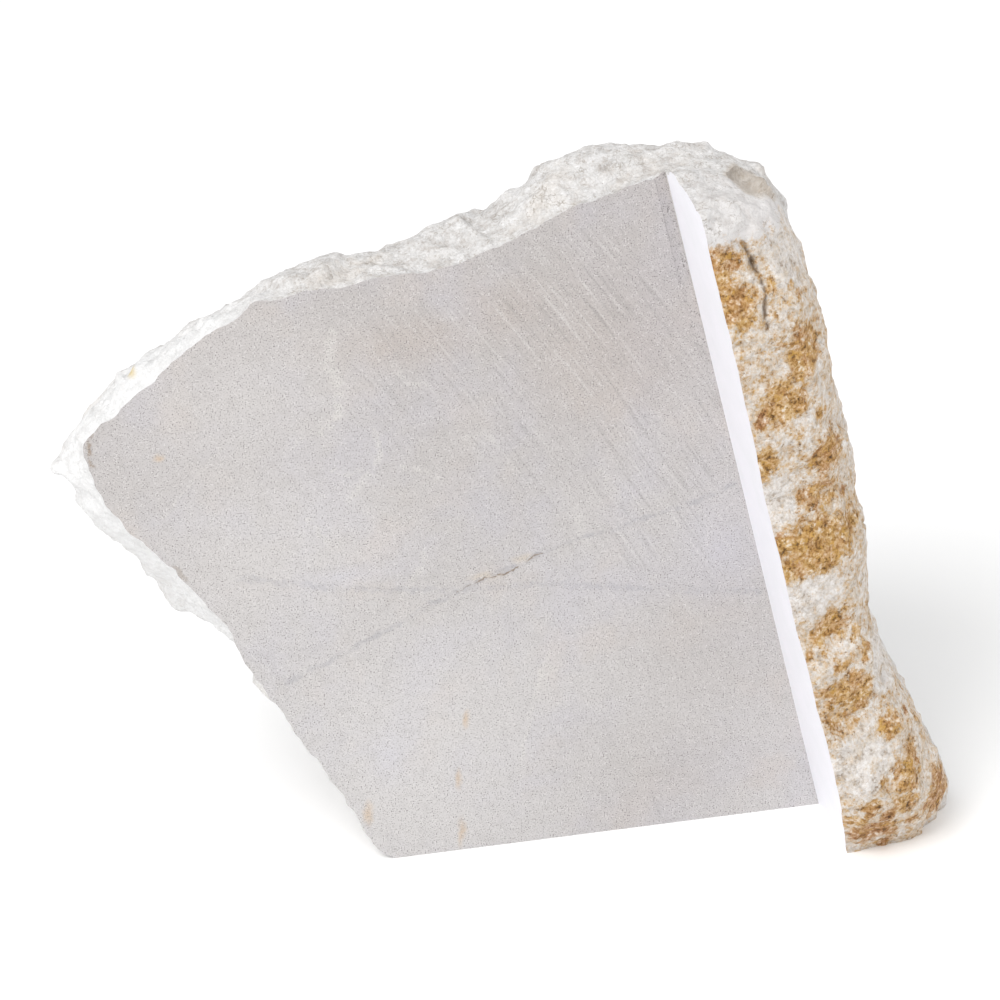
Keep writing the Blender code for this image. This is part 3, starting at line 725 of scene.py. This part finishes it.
def patch():
    """A soft oval spot."""
    tree, start, end = new_group(
        "patch", [("Position", VECTOR), ("Centre", VECTOR), ("Stretch", VECTOR)],
        [("Mask", FLOAT)])
    points = start.outputs
    offset = vector_of(tree, "SUBTRACT", points["Position"], points["Centre"])
    away = vector_of(tree, "LENGTH", vector_of(tree, "DIVIDE", offset, points["Stretch"]))
    tree.links.new(ramp(tree, away, 1.0, 0.0), end.inputs["Mask"])
    return tree


GROUPS = {make.__name__: make() for make in
          (stone_millimetres, stone_grain, saw_marks, chips, hairline, patch)}


def marked_line(tree, where, line, half_width):
    """The strongest hairline of a run of points on the flat face."""
    strongest = None
    for (x0, z0), (x1, z1) in zip(line, line[1:]):
        mask = use(tree, GROUPS["hairline"], Position=where, Start=(x0, 0.0, z0),
                   End=(x1, 0.0, z1), Half_Width=half_width).outputs[0]
        strongest = mask if strongest is None else math_of(tree, "MAXIMUM", strongest, mask)
    return strongest


def spot(tree, where, x, z, half_width, half_height):
    """A soft oval spot on the flat face."""
    return use(tree, GROUPS["patch"], Position=where, Centre=(x, 0.0, z),
               Stretch=(half_width, 50.0, half_height)).outputs[0]


def new_material(name):
    """A material with its shader and the position on the stone."""
    material = bpy.data.materials.new(name)
    material.use_nodes = True
    tree = material.node_tree
    shader = tree.nodes["Principled BSDF"]
    shader.location = (3000, 0)
    tree.nodes["Material Output"].location = (3300, 0)
    where = use(tree, GROUPS["stone_millimetres"]).outputs["Position"]
    return material, tree, shader, where


def blade_arcs(tree, where, base):
    """Darkens and lightens the colour along the blade's arcs, most at the upper right."""
    arcs = use(tree, GROUPS["saw_marks"], Position=where, Pitch=BLADE_PITCH,
               Length=BLADE_STROKE).outputs
    broad = use(tree, GROUPS["saw_marks"], Position=where, Pitch=BLADE_STEP,
                Length=BLADE_SWEEP).outputs
    shade = math_of(tree, "MULTIPLY_ADD", broad["Shade"], BLADE_STEP_SHARE, arcs["Shade"])
    strength = BLADE_MARKS_EVERYWHERE
    for x, z, wide, tall, amount in ARC_FIELDS:
        near = math_of(tree, "MULTIPLY", spot(tree, where, x, z, wide, tall), amount)
        strength = math_of(tree, "MAXIMUM", strength, near)
    uneven = ramp(tree, speckle(tree, where, 7.0), 0.35, 0.58, 0.4, 1.0)
    strength = math_of(tree, "MULTIPLY", strength, uneven)
    light = math_of(tree, "MULTIPLY", ramp(tree, shade, 0.05, 0.24), strength)
    dark = math_of(tree, "MULTIPLY", ramp(tree, shade, -0.05, -0.24), strength)
    base = blend_colour(tree, math_of(tree, "MULTIPLY", light, BLADE_LIGHT), base, SAWN_PALE)
    base = blend_colour(tree, math_of(tree, "MULTIPLY", dark, BLADE_DARK), base, SAWN_DARK)
    return base, math_of(tree, "MULTIPLY", arcs["Height"], strength)


def hairline_cracks(tree, where, base):
    """Draws the brown crack, its two long grey lines and the short lines at the left."""
    broken = ramp(tree, speckle(tree, where, 1.2, 2.0), 0.36, 0.56)
    clouded = ramp(tree, speckle(tree, where, 5.0, 2.0), 0.3, 0.6, 0.4, 1.0)
    for line, half_width, strength, tone in HAIRLINES:
        mask = math_of(tree, "MULTIPLY", marked_line(tree, where, line, half_width), broken)
        mask = math_of(tree, "MULTIPLY", mask, clouded)
        base = blend_colour(tree, math_of(tree, "MULTIPLY", mask, strength), base, tone)
    return base


def pale_smears(tree, where, base):
    """Short curved pale scratches and smears."""
    broken = ramp(tree, speckle(tree, where, 0.9, 2.0), 0.38, 0.56)
    for line, half_width, strength in SMEARS:
        mask = math_of(tree, "MULTIPLY", marked_line(tree, where, line, half_width), broken)
        mask = math_of(tree, "MULTIPLY", mask, SMEAR_STRENGTH * strength)
        base = blend_colour(tree, mask, base, SMEAR_PALE)
    return base


def soft_spots(tree, where, base, spots, strength, tone):
    """Blends one tone into the colour over some soft spots."""
    mask = None
    for values in spots:
        here = spot(tree, where, *values)
        mask = here if mask is None else math_of(tree, "MAXIMUM", mask, here)
    return blend_colour(tree, math_of(tree, "MULTIPLY", mask, strength), base, tone)


FACE_TOP_TONE = colour(184, 179, 177)
FACE_FOOT_TONE = colour(199, 196, 195)
FACE_TOP_Z = 98.0
LINE_WAVER = 0.9
FACE_COOL_TONE = colour(192, 190, 201)
FACE_WARM_TONE = colour(204, 192, 182)
# Spots of the flat face with how strongly they show and their tone.
FACE_SPOTS = [
    (WARM_SPOTS, 0.55, colour(184, 173, 165)), (COOL_SPOTS, 0.4, colour(196, 195, 206)),
    (LIGHT_SPOTS, 0.32, colour(214, 211, 210)), (DIM_SPOTS, 0.55, colour(181, 176, 173)),
    (CRACK_TINGE, 0.4, colour(206, 190, 164)), (OCHRE_SPOTS, 0.55, colour(200, 170, 132)),
]
FACE_DARK_GRAIN = colour(130, 125, 124)
FACE_BRIGHT_GRAIN = colour(222, 219, 218)
STEP_TONES = (colour(238, 238, 243), colour(242, 241, 247))
STEP_GRAIN = colour(222, 220, 222)
UNDERSIDE_TONES = (colour(204, 200, 197), colour(216, 212, 208))
UNDERSIDE_GRAIN = colour(160, 155, 150)


def sawn_face():
    """Matt grey sawn stone with fine grain, clouds, blade arcs and hairline cracks."""
    material, tree, shader, where = new_material("sawn_face")
    height = add(tree, "ShaderNodeSeparateXYZ", Vector=where).outputs["Z"]
    base = blend_colour(tree, ramp(tree, height, FACE_TOP_Z, 0.0), FACE_TOP_TONE, FACE_FOOT_TONE)
    wavering = add(tree, "ShaderNodeTexNoise", Vector=where, Scale=0.5, Detail=3.0)
    bent = vector_of(tree, "MULTIPLY_ADD", wavering.outputs["Color"],
                     (2 * LINE_WAVER, 0.0, 2 * LINE_WAVER), where)
    drawn = vector_of(tree, "SUBTRACT", bent, (LINE_WAVER, 0.0, LINE_WAVER))
    cool = ramp(tree, speckle(tree, where, 15.0, 3.0), 0.42, 0.66, 0.0, 0.3)
    base = blend_colour(tree, cool, base, FACE_COOL_TONE)
    warm = ramp(tree, speckle(tree, drawn, 12.0, 3.0, 0.5), 0.5, 0.72, 0.0, 0.3)
    base = blend_colour(tree, warm, base, FACE_WARM_TONE)
    for spots, strength, tone in FACE_SPOTS:
        base = soft_spots(tree, drawn, base, spots, strength, tone)
    mottle = speckle(tree, where, 2.4, 3.0, 0.6)
    base = blend_colour(tree, ramp(tree, mottle, 0.5, 0.35, 0.0, 0.08), base, SAWN_DARK)
    base = blend_colour(tree, ramp(tree, mottle, 0.54, 0.7, 0.0, 0.12), base, SAWN_PALE)
    base, arc_height = blade_arcs(tree, where, base)
    base = pale_smears(tree, drawn, base)
    base = hairline_cracks(tree, drawn, base)
    grain = use(tree, GROUPS["stone_grain"], Position=where, Size=0.2).outputs
    gathered = ramp(tree, speckle(tree, where, 0.9, 2.0), 0.36, 0.6, 0.5, 1.15)
    base = blend_colour(tree, math_of(tree, "MULTIPLY", grain["Dark"], gathered), base,
                        FACE_DARK_GRAIN)
    base = blend_colour(tree, math_of(tree, "MULTIPLY", grain["Bright"], 0.55), base,
                        FACE_BRIGHT_GRAIN)
    tree.links.new(base, shader.inputs["Base Color"])
    relief = math_of(tree, "ADD", math_of(tree, "MULTIPLY", grain["Height"], 0.5), arc_height)
    bump = add(tree, "ShaderNodeBump", Strength=0.5, Distance=0.00012, Height=relief)
    tree.links.new(bump.outputs[0], shader.inputs["Normal"])
    shader.inputs["Roughness"].default_value = 0.75
    return material


def sawn_step():
    """The clean white side of the sawn step."""
    material, tree, shader, where = new_material("sawn_step")
    soft = speckle(tree, where, 6.0, 3.0)
    base = blend_colour(tree, ramp(tree, soft, 0.3, 0.7), *STEP_TONES)
    grain = use(tree, GROUPS["stone_grain"], Position=where, Size=0.25).outputs
    base = blend_colour(tree, math_of(tree, "MULTIPLY", grain["Dark"], 0.12), base, STEP_GRAIN)
    tree.links.new(base, shader.inputs["Base Color"])
    bump = add(tree, "ShaderNodeBump", Strength=0.25, Distance=0.0001, Height=grain["Height"])
    tree.links.new(bump.outputs[0], shader.inputs["Normal"])
    shader.inputs["Roughness"].default_value = 0.6
    return material


def field(tree, name):
    """A number stored on the stone's points."""
    return add(tree, "ShaderNodeAttribute", {"attribute_name": name}).outputs["Fac"]


def tones(tree, value, stops):
    """A colour from a value through a row of (value, colour) stops."""
    node = add(tree, "ShaderNodeValToRGB", Fac=value)
    marks = node.color_ramp.elements
    while len(marks) < len(stops):
        marks.new(0.5)
    for mark, (position, tone) in zip(marks, stops):
        mark.position = position
        mark.color = tone
    return node.outputs["Color"]


WHITE_TONES = [
    (0.3, colour(190, 184, 179)), (0.41, colour(208, 204, 201)), (0.5, colour(218, 216, 214)),
    (0.6, colour(227, 225, 224)), (0.72, colour(240, 239, 239)),
]
CRUST_TONES = [
    (0.28, colour(166, 149, 133)), (0.4, colour(208, 200, 192)), (0.5, colour(225, 218, 212)),
    (0.62, colour(240, 236, 233)),
]
GOLD_TONES = [
    (0.28, colour(88, 59, 28)), (0.38, colour(154, 112, 53)), (0.49, colour(194, 152, 90)),
    (0.6, colour(215, 183, 135)), (0.7, colour(236, 222, 202)),
]
RUST_TONES = [
    (0.28, colour(78, 48, 26)), (0.38, colour(138, 90, 50)), (0.49, colour(178, 131, 86)),
    (0.6, colour(206, 173, 141)), (0.7, colour(234, 220, 206)),
]
# Inside the hollow: a beige tint together with painted shade for its recess.
HOLLOW_SHADE_AND_TINT = colour(186, 172, 154)
# Painted light: the front of the ridge's end, facing the lamps, is painted paler; its centre,
# reach and tone.
RIDGE_END = (29.5, -14.0, 96.0)
RIDGE_END_REACH = (17.0, 18.0, 13.0)
YELLOW_SPOT = (-48.8, 4.8, 77.5)
YELLOW_SPOT_REACH = (1.2, 2.5, 1.0)
YELLOW_TONE = colour(222, 196, 120)
# Painted shade: the dark tones of fine cracks and small pits in the broken stone.
FINE_CRACK_SHADE_TONE = colour(150, 139, 126)
SMALL_PIT_SHADE_TONE = colour(160, 149, 136)
CREAM_TONE = colour(222, 213, 203)
RIDGE_END_LIGHT_TONE = colour(231, 227, 226)
# Painted light: the pale tone given to the left rim, which faces the key lamp.
LEFT_RIM_LIGHT_TONE = colour(243, 243, 243)
WARM_CRUST_TONE = colour(222, 204, 178)
BRIGHT_GOLD_TONE = colour(208, 163, 80)
HALO_TONE = colour(208, 182, 147)
# Painted shade: the dark tone of small holes in the crust and its stains.
HOLE_SHADE_TONE = colour(118, 88, 54)
CRACK_TONE = colour(100, 75, 47)


def grain_and_cavity_shade(tree, where, relief, size, roughness):
    """A value around 0.5 from clouds and crisp small grains, with painted shade making the
    relief's low spots darker.
    """
    clouds = speckle(tree, where, size, 6.0, roughness)
    crisp = use(tree, GROUPS["chips"], Position=where, Size=0.34, Warp=0.7).outputs["Shade"]
    value = math_of(tree, "MULTIPLY_ADD", crisp, GRAIN_CONTRAST, clouds)
    value = math_of(tree, "SUBTRACT", value, GRAIN_CONTRAST / 2)
    # Painted shade: the relief's low spots give a lower value, so a darker tone.
    return math_of(tree, "MULTIPLY_ADD", relief, 0.08, math_of(tree, "SUBTRACT", value, 0.05))


def shaded_fine_cracks(tree, where, base):
    """Paints shade into short crisp cracks and small pits of the broken stone, as dark lines and
    dots.
    """
    middle = math_of(tree, "SUBTRACT", speckle(tree, where, 3.2, 5.0, 0.55), 0.5)
    some = ramp(tree, speckle(tree, where, 3.0, 2.0), 0.42, 0.6, 0.0, 0.6)
    # Painted shade: thin dark lines where the cracks lie, then dark dots for small pits.
    lines = ramp(tree, math_of(tree, "ABSOLUTE", middle), 0.011, 0.004)
    base = blend_colour(tree, math_of(tree, "MULTIPLY", lines, some), base, FINE_CRACK_SHADE_TONE)
    small_pit_shade = ramp(tree, speckle(tree, where, 0.5, 2.0, 0.7), 0.35, 0.29, 0.0, 0.6)
    return blend_colour(tree, small_pit_shade, base, SMALL_PIT_SHADE_TONE)


def broken_white(tree, where, relief):
    """Colour of the clean broken stone, with painted light making the left rim and the front of
    the ridge's end paler.
    """
    value = grain_and_cavity_shade(tree, where, relief, 2.2, 0.76)
    base = tones(tree, value, WHITE_TONES)
    cream = ramp(tree, speckle(tree, where, 9.0, 5.0, 0.65), 0.5, 0.68, 0.0, 0.4)
    base = blend_colour(tree, cream, base, CREAM_TONE)
    # Painted light: a soft patch makes the front-facing end of the ridge paler.
    end = use(tree, GROUPS["patch"], Position=where, Centre=RIDGE_END,
              Stretch=RIDGE_END_REACH).outputs[0]
    base = blend_colour(tree, math_of(tree, "MULTIPLY", end, 0.95), base, RIDGE_END_LIGHT_TONE)
    apart = add(tree, "ShaderNodeSeparateXYZ", Vector=where).outputs
    # Painted light: the rim at the left, facing the lamp, is blended towards a paler tone.
    left_rim_light = math_of(tree, "MULTIPLY", ramp(tree, apart["X"], -26.0, -40.0, 0.0, 0.75),
                       ramp(tree, apart["Y"], 16.0, 5.0))
    return blend_colour(tree, left_rim_light, shaded_fine_cracks(tree, where, base), LEFT_RIM_LIGHT_TONE)


def weathered_crust(tree, where, relief):
    """Colour of the weathered crust between its stains."""
    base = tones(tree, grain_and_cavity_shade(tree, where, relief, 1.8, 0.72), CRUST_TONES)
    warm = ramp(tree, speckle(tree, where, 2.4, 5.0, 0.7), 0.5, 0.66, 0.0, 0.34)
    return blend_colour(tree, warm, base, WARM_CRUST_TONE)


def iron_stain(tree, brown, where, relief):
    """Colour of the stains: dark holes, gold or brown grains, and pale bits, darker in the
    relief's low spots by painted shade.
    """
    value = grain_and_cavity_shade(tree, where, relief, 1.0, 0.66)
    gold = tones(tree, value, GOLD_TONES)
    rust = tones(tree, value, RUST_TONES)
    drift = ramp(tree, speckle(tree, where, 2.0, 3.0, 0.6), 0.4, 0.62, -0.25, 0.35)
    share = add(tree, "ShaderNodeClamp", Value=math_of(tree, "ADD", brown, drift)).outputs[0]
    base = blend_colour(tree, share, gold, rust)
    bright = ramp(tree, speckle(tree, where, 1.4, 3.0, 0.7), 0.56, 0.66, 0.0, 0.6)
    return blend_colour(tree, bright, base, BRIGHT_GOLD_TONE)


def natural_stone():
    """Broken white stone; crust, iron stains and the hollow's tint and painted shade lie where
    the stored fields say.
    """
    material, tree, shader, where = new_material("natural_stone")
    large = use(tree, GROUPS["chips"], Position=where, Size=1.6, Warp=0.4).outputs
    small = use(tree, GROUPS["chips"], Position=where, Size=0.7, Warp=0.4).outputs
    grit = speckle(tree, where, 0.4, 3.0, 0.75)
    relief = math_of(tree, "MULTIPLY_ADD", small["Height"], 0.5, large["Height"])
    relief = math_of(tree, "MULTIPLY_ADD", grit, 0.9, relief)
    ragged = speckle(tree, where, 1.7, 6.0, 0.78)
    base = broken_white(tree, where, relief)
    # Darkens the inside of the hollow: partly its beige colour, partly painted shade of the
    # recess.
    hollow_shade_and_tint = math_of(tree, "MULTIPLY", field(tree, "hollow"), 0.5)
    base = blend_colour(tree, hollow_shade_and_tint, base, HOLLOW_SHADE_AND_TINT)
    yellow = use(tree, GROUPS["patch"], Position=where, Centre=YELLOW_SPOT,
                 Stretch=YELLOW_SPOT_REACH).outputs[0]
    base = blend_colour(tree, math_of(tree, "MULTIPLY", yellow, 0.8), base, YELLOW_TONE)
    reach = math_of(tree, "MULTIPLY_ADD", ragged, 1.6, field(tree, "crust"))
    on_crust = ramp(tree, reach, 1.1, 1.6)
    base = blend_colour(tree, on_crust, base, weathered_crust(tree, where, relief))
    stain = field(tree, "stain")
    crumbly = speckle(tree, where, 0.6, 4.0, 0.75)
    reach = math_of(tree, "MULTIPLY_ADD", ragged, 2.2, stain)
    reach = math_of(tree, "MULTIPLY_ADD", crumbly, 1.5, math_of(tree, "ADD", reach, 0.55))
    halo = math_of(tree, "MULTIPLY", ramp(tree, reach, 2.35, 3.0, 0.0, 0.8), on_crust)
    base = blend_colour(tree, halo, base, HALO_TONE)
    # Painted shade: small dark holes in the crust, most in the stains' halos.
    hole_shade = ramp(tree, speckle(tree, where, 0.5, 2.0, 0.7), 0.38, 0.31)
    hole_shade = math_of(tree, "MULTIPLY", hole_shade, math_of(tree, "MULTIPLY_ADD", halo, 0.7, 0.2))
    cover = math_of(tree, "MULTIPLY", ramp(tree, reach, 2.65, 3.15), on_crust)
    base = blend_colour(tree, cover, base,
                        iron_stain(tree, field(tree, "brown"), where, relief))
    hole_shade = math_of(tree, "MULTIPLY", hole_shade, on_crust)
    base = blend_colour(tree, hole_shade, base, HOLE_SHADE_TONE)
    dark = math_of(tree, "MULTIPLY", field(tree, "crack"), ramp(tree, ragged, 0.64, 0.52))
    base = blend_colour(tree, math_of(tree, "MULTIPLY", dark, 0.95), base, CRACK_TONE)
    tree.links.new(base, shader.inputs["Base Color"])
    bump = add(tree, "ShaderNodeBump", Strength=0.8, Distance=0.0005, Height=relief)
    tree.links.new(bump.outputs[0], shader.inputs["Normal"])
    shader.inputs["Roughness"].default_value = 0.88
    return material


def resting_face():
    """The flat underside, sawn and a little dusty."""
    material, tree, shader, where = new_material("resting_face")
    clouds = ramp(tree, speckle(tree, where, 9.0, 3.0), 0.35, 0.7)
    base = blend_colour(tree, clouds, *UNDERSIDE_TONES)
    grain = use(tree, GROUPS["stone_grain"], Position=where, Size=0.3).outputs
    base = blend_colour(tree, math_of(tree, "MULTIPLY", grain["Dark"], 0.4), base,
                        UNDERSIDE_GRAIN)
    tree.links.new(base, shader.inputs["Base Color"])
    shader.inputs["Roughness"].default_value = 0.8
    return material


def stain_fields(mesh):
    """Stores where the crust, its stains, its crack and the hollow lie, for the material."""
    points = np.empty(len(mesh.vertices) * 3)
    mesh.vertices.foreach_get("co", points)
    points = points.reshape(-1, 3) / MM
    wander = np.array([noise.noise(Vector(p / CRUST_WANDER_SIZE)) for p in points])
    depth = points[:, 1] + CRUST_WANDER * wander
    on_crust = np.clip((CRUST_BACK - depth) / CRUST_TURN, 0, 1)
    on_crust *= np.clip((points[:, 0] - step_x(points[:, 2])) / CRUST_LEFT_FADE + 1, 0, 1)
    stain = STAIN_EVERYWHERE * np.clip(-depth / SETBACK_FULL, 0, 1) * on_crust
    brown = np.full(len(points), BROWN_BETWEEN)
    noise.seed_set(STAIN_SEED)
    sway = np.zeros_like(points)
    for size, reach in STAIN_SWAY:
        sway += [noise.noise_vector(Vector(p / size)) * reach for p in points]
    for x, z, wide, tall, strength, tint in STAINS:
        rim = min(STAIN_RIM + STAIN_RIM_SHARE * min(wide, tall), STAIN_RIM_MOST)
        x_away = (points[:, 0] + sway[:, 0] - x) / (wide + rim)
        away = np.hypot(x_away, (points[:, 2] + sway[:, 2] - z) / (tall + rim))
        here = np.clip(STAIN_EDGE * (1 - away), 0, 1) * strength * on_crust
        if strength < 0:
            stain = np.clip(stain + here, 0, None)
        else:
            brown = np.where(here > stain, tint, brown)
            stain = np.maximum(stain, here)
    crust = on_crust * np.clip((CRUST_TOP_Z - points[:, 2]) / CRUST_FADE, 0, 1)
    crack = np.zeros(len(points))
    for line, _, half_width in CRUST_CRACKS:
        away = near_line(points, line) / (half_width * CRACK_SHOWS)
        here = np.clip(CRACK_SHOWS_EDGE - away, 0, 1)
        crack = np.maximum(crack, here * (points[:, 1] < -SETBACK_FULL))
    turn = np.array(Matrix.Rotation(math.radians(PIT_TURN), 3, "Z"))
    inner = np.linalg.norm((points - PIT_CENTRE) @ turn / PIT_RADII, axis=1)
    hollow = np.clip((HOLLOW_EDGE - inner) / HOLLOW_FADE, 0, 1)
    fields = {"stain": stain, "brown": brown, "crust": crust, "crack": crack, "hollow": hollow}
    for name, values in fields.items():
        stored = mesh.attributes.new(name, "FLOAT", "POINT")
        stored.data.foreach_set("value", values.astype(np.float32))


def finish_surfaces(stone):
    """Gives every face its material: sawn, step, underside or natural."""
    mesh = stone.data
    mesh.materials.clear()
    makers = (natural_stone, sawn_face, sawn_step, resting_face)
    for make in makers:
        mesh.materials.append(make())
    natural, face, step, underside = range(len(makers))
    for polygon in mesh.polygons:
        x, y, z = polygon.center / MM
        facing = polygon.normal
        on_face = facing.y < -0.99 and abs(y) < NEAR_PLANE and x < step_x(z)
        on_face = on_face or (facing.y < -0.9 and 0 < y < KERF_TOP_DEPTH
                              and 0 < step_x(z) - x < KERF_WIDTH)
        on_step = abs(x - step_x(z)) < 2 * NEAR_PLANE and facing.x < -0.9
        in_kerf = 0 < y < KERF_TOP_DEPTH and abs(x - step_x(z) + KERF_WIDTH) < 2 * NEAR_PLANE
        if on_step:
            polygon.material_index = step
        elif on_face or in_kerf:
            polygon.material_index = face
        elif z < NEAR_PLANE and facing.z < -0.99:
            polygon.material_index = underside
        else:
            polygon.material_index = natural
        polygon.use_smooth = polygon.material_index == natural
    mesh.set_sharp_from_angle(angle=math.radians(SHARP_ANGLE))


def limestone_block():
    """The whole stone, in its place."""
    stone = rough_block()
    weathered_skin(stone)
    taken = saw_cut()
    for other in (kerf(), pit(), resting_cut()):
        combine(taken, other, "UNION")
    combine(stone, taken, "DIFFERENCE")
    thin_out(stone)
    stain_fields(stone.data)
    finish_surfaces(stone)
    for vertex in stone.data.vertices:
        vertex.co.x += PLACE[0] * MM
        vertex.co.y += PLACE[1] * MM
    stone.name = "limestone_block_stone"
    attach(stone, "root")
    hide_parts("limestone_block")
    return stone


# The studio

AZIMUTH = math.radians(-13.6)
ELEVATION = math.radians(27.9)
DISTANCE = 0.66
SENSOR_WIDTH = 36.0
PHOTO_WIDTH = 1000
MM_PER_PIXEL = 0.135
TARGET = Vector((PLACE[0], PLACE[1], 54.7)) * MM
FLOOR_REACH = 4.0
WHITE = (1.0, 1.0, 1.0, 1.0)
# Lights: name, place, size in metres, and power in watts.
LIGHTS = [("key", (-0.6, -0.5, 0.95), 0.6, 9.7), ("side", (0.95, -0.15, 0.45), 0.5, 1.8)]
SURROUND_STRENGTH = 0.7


def aim(obj, place, target):
    """Puts an object at a place, looking at a target."""
    obj.location = place
    obj.rotation_euler = (target - place).to_track_quat("-Z", "Y").to_euler()


def camera():
    """The camera at the viewing angle of the photograph."""
    data = bpy.data.cameras.new("camera")
    data.sensor_width = SENSOR_WIDTH
    data.lens = SENSOR_WIDTH * DISTANCE / (MM_PER_PIXEL * MM * PHOTO_WIDTH)
    obj = bpy.data.objects.new("camera", data)
    bpy.context.scene.collection.objects.link(obj)
    back = Vector((math.sin(AZIMUTH) * math.cos(ELEVATION),
                   -math.cos(AZIMUTH) * math.cos(ELEVATION), math.sin(ELEVATION)))
    aim(obj, TARGET + back * DISTANCE, TARGET)
    bpy.context.scene.camera = obj


def area_light(name, place, size, power):
    """A soft square light aimed at the stone."""
    data = bpy.data.lights.new(name, "AREA")
    data.shape = "SQUARE"
    data.size = size
    data.energy = power
    obj = bpy.data.objects.new(name, data)
    bpy.context.scene.collection.objects.link(obj)
    aim(obj, Vector(place), TARGET)


def studio():
    """Pale floor, soft lights and an even pale surround."""
    mesh = bpy.data.meshes.new("floor")
    corners = [(x * FLOOR_REACH, y * FLOOR_REACH, 0)
               for x, y in ((-1, -1), (1, -1), (1, 1), (-1, 1))]
    mesh.from_pydata(corners, [], [(0, 1, 2, 3)])
    floor = bpy.data.objects.new("floor", mesh)
    bpy.context.scene.collection.objects.link(floor)
    paint = bpy.data.materials.new("floor")
    paint.use_nodes = True
    shader = paint.node_tree.nodes["Principled BSDF"]
    shader.inputs["Base Color"].default_value = WHITE
    shader.inputs["Roughness"].default_value = 1.0
    mesh.materials.append(paint)
    for light in LIGHTS:
        area_light(*light)
    world = bpy.data.worlds.new("surround")
    world.use_nodes = True
    surround = world.node_tree.nodes["Background"].inputs
    surround["Color"].default_value = WHITE
    surround["Strength"].default_value = SURROUND_STRENGTH
    bpy.context.scene.world = world
    bpy.context.scene.view_settings.view_transform = "Standard"


limestone_block()
camera()
studio()
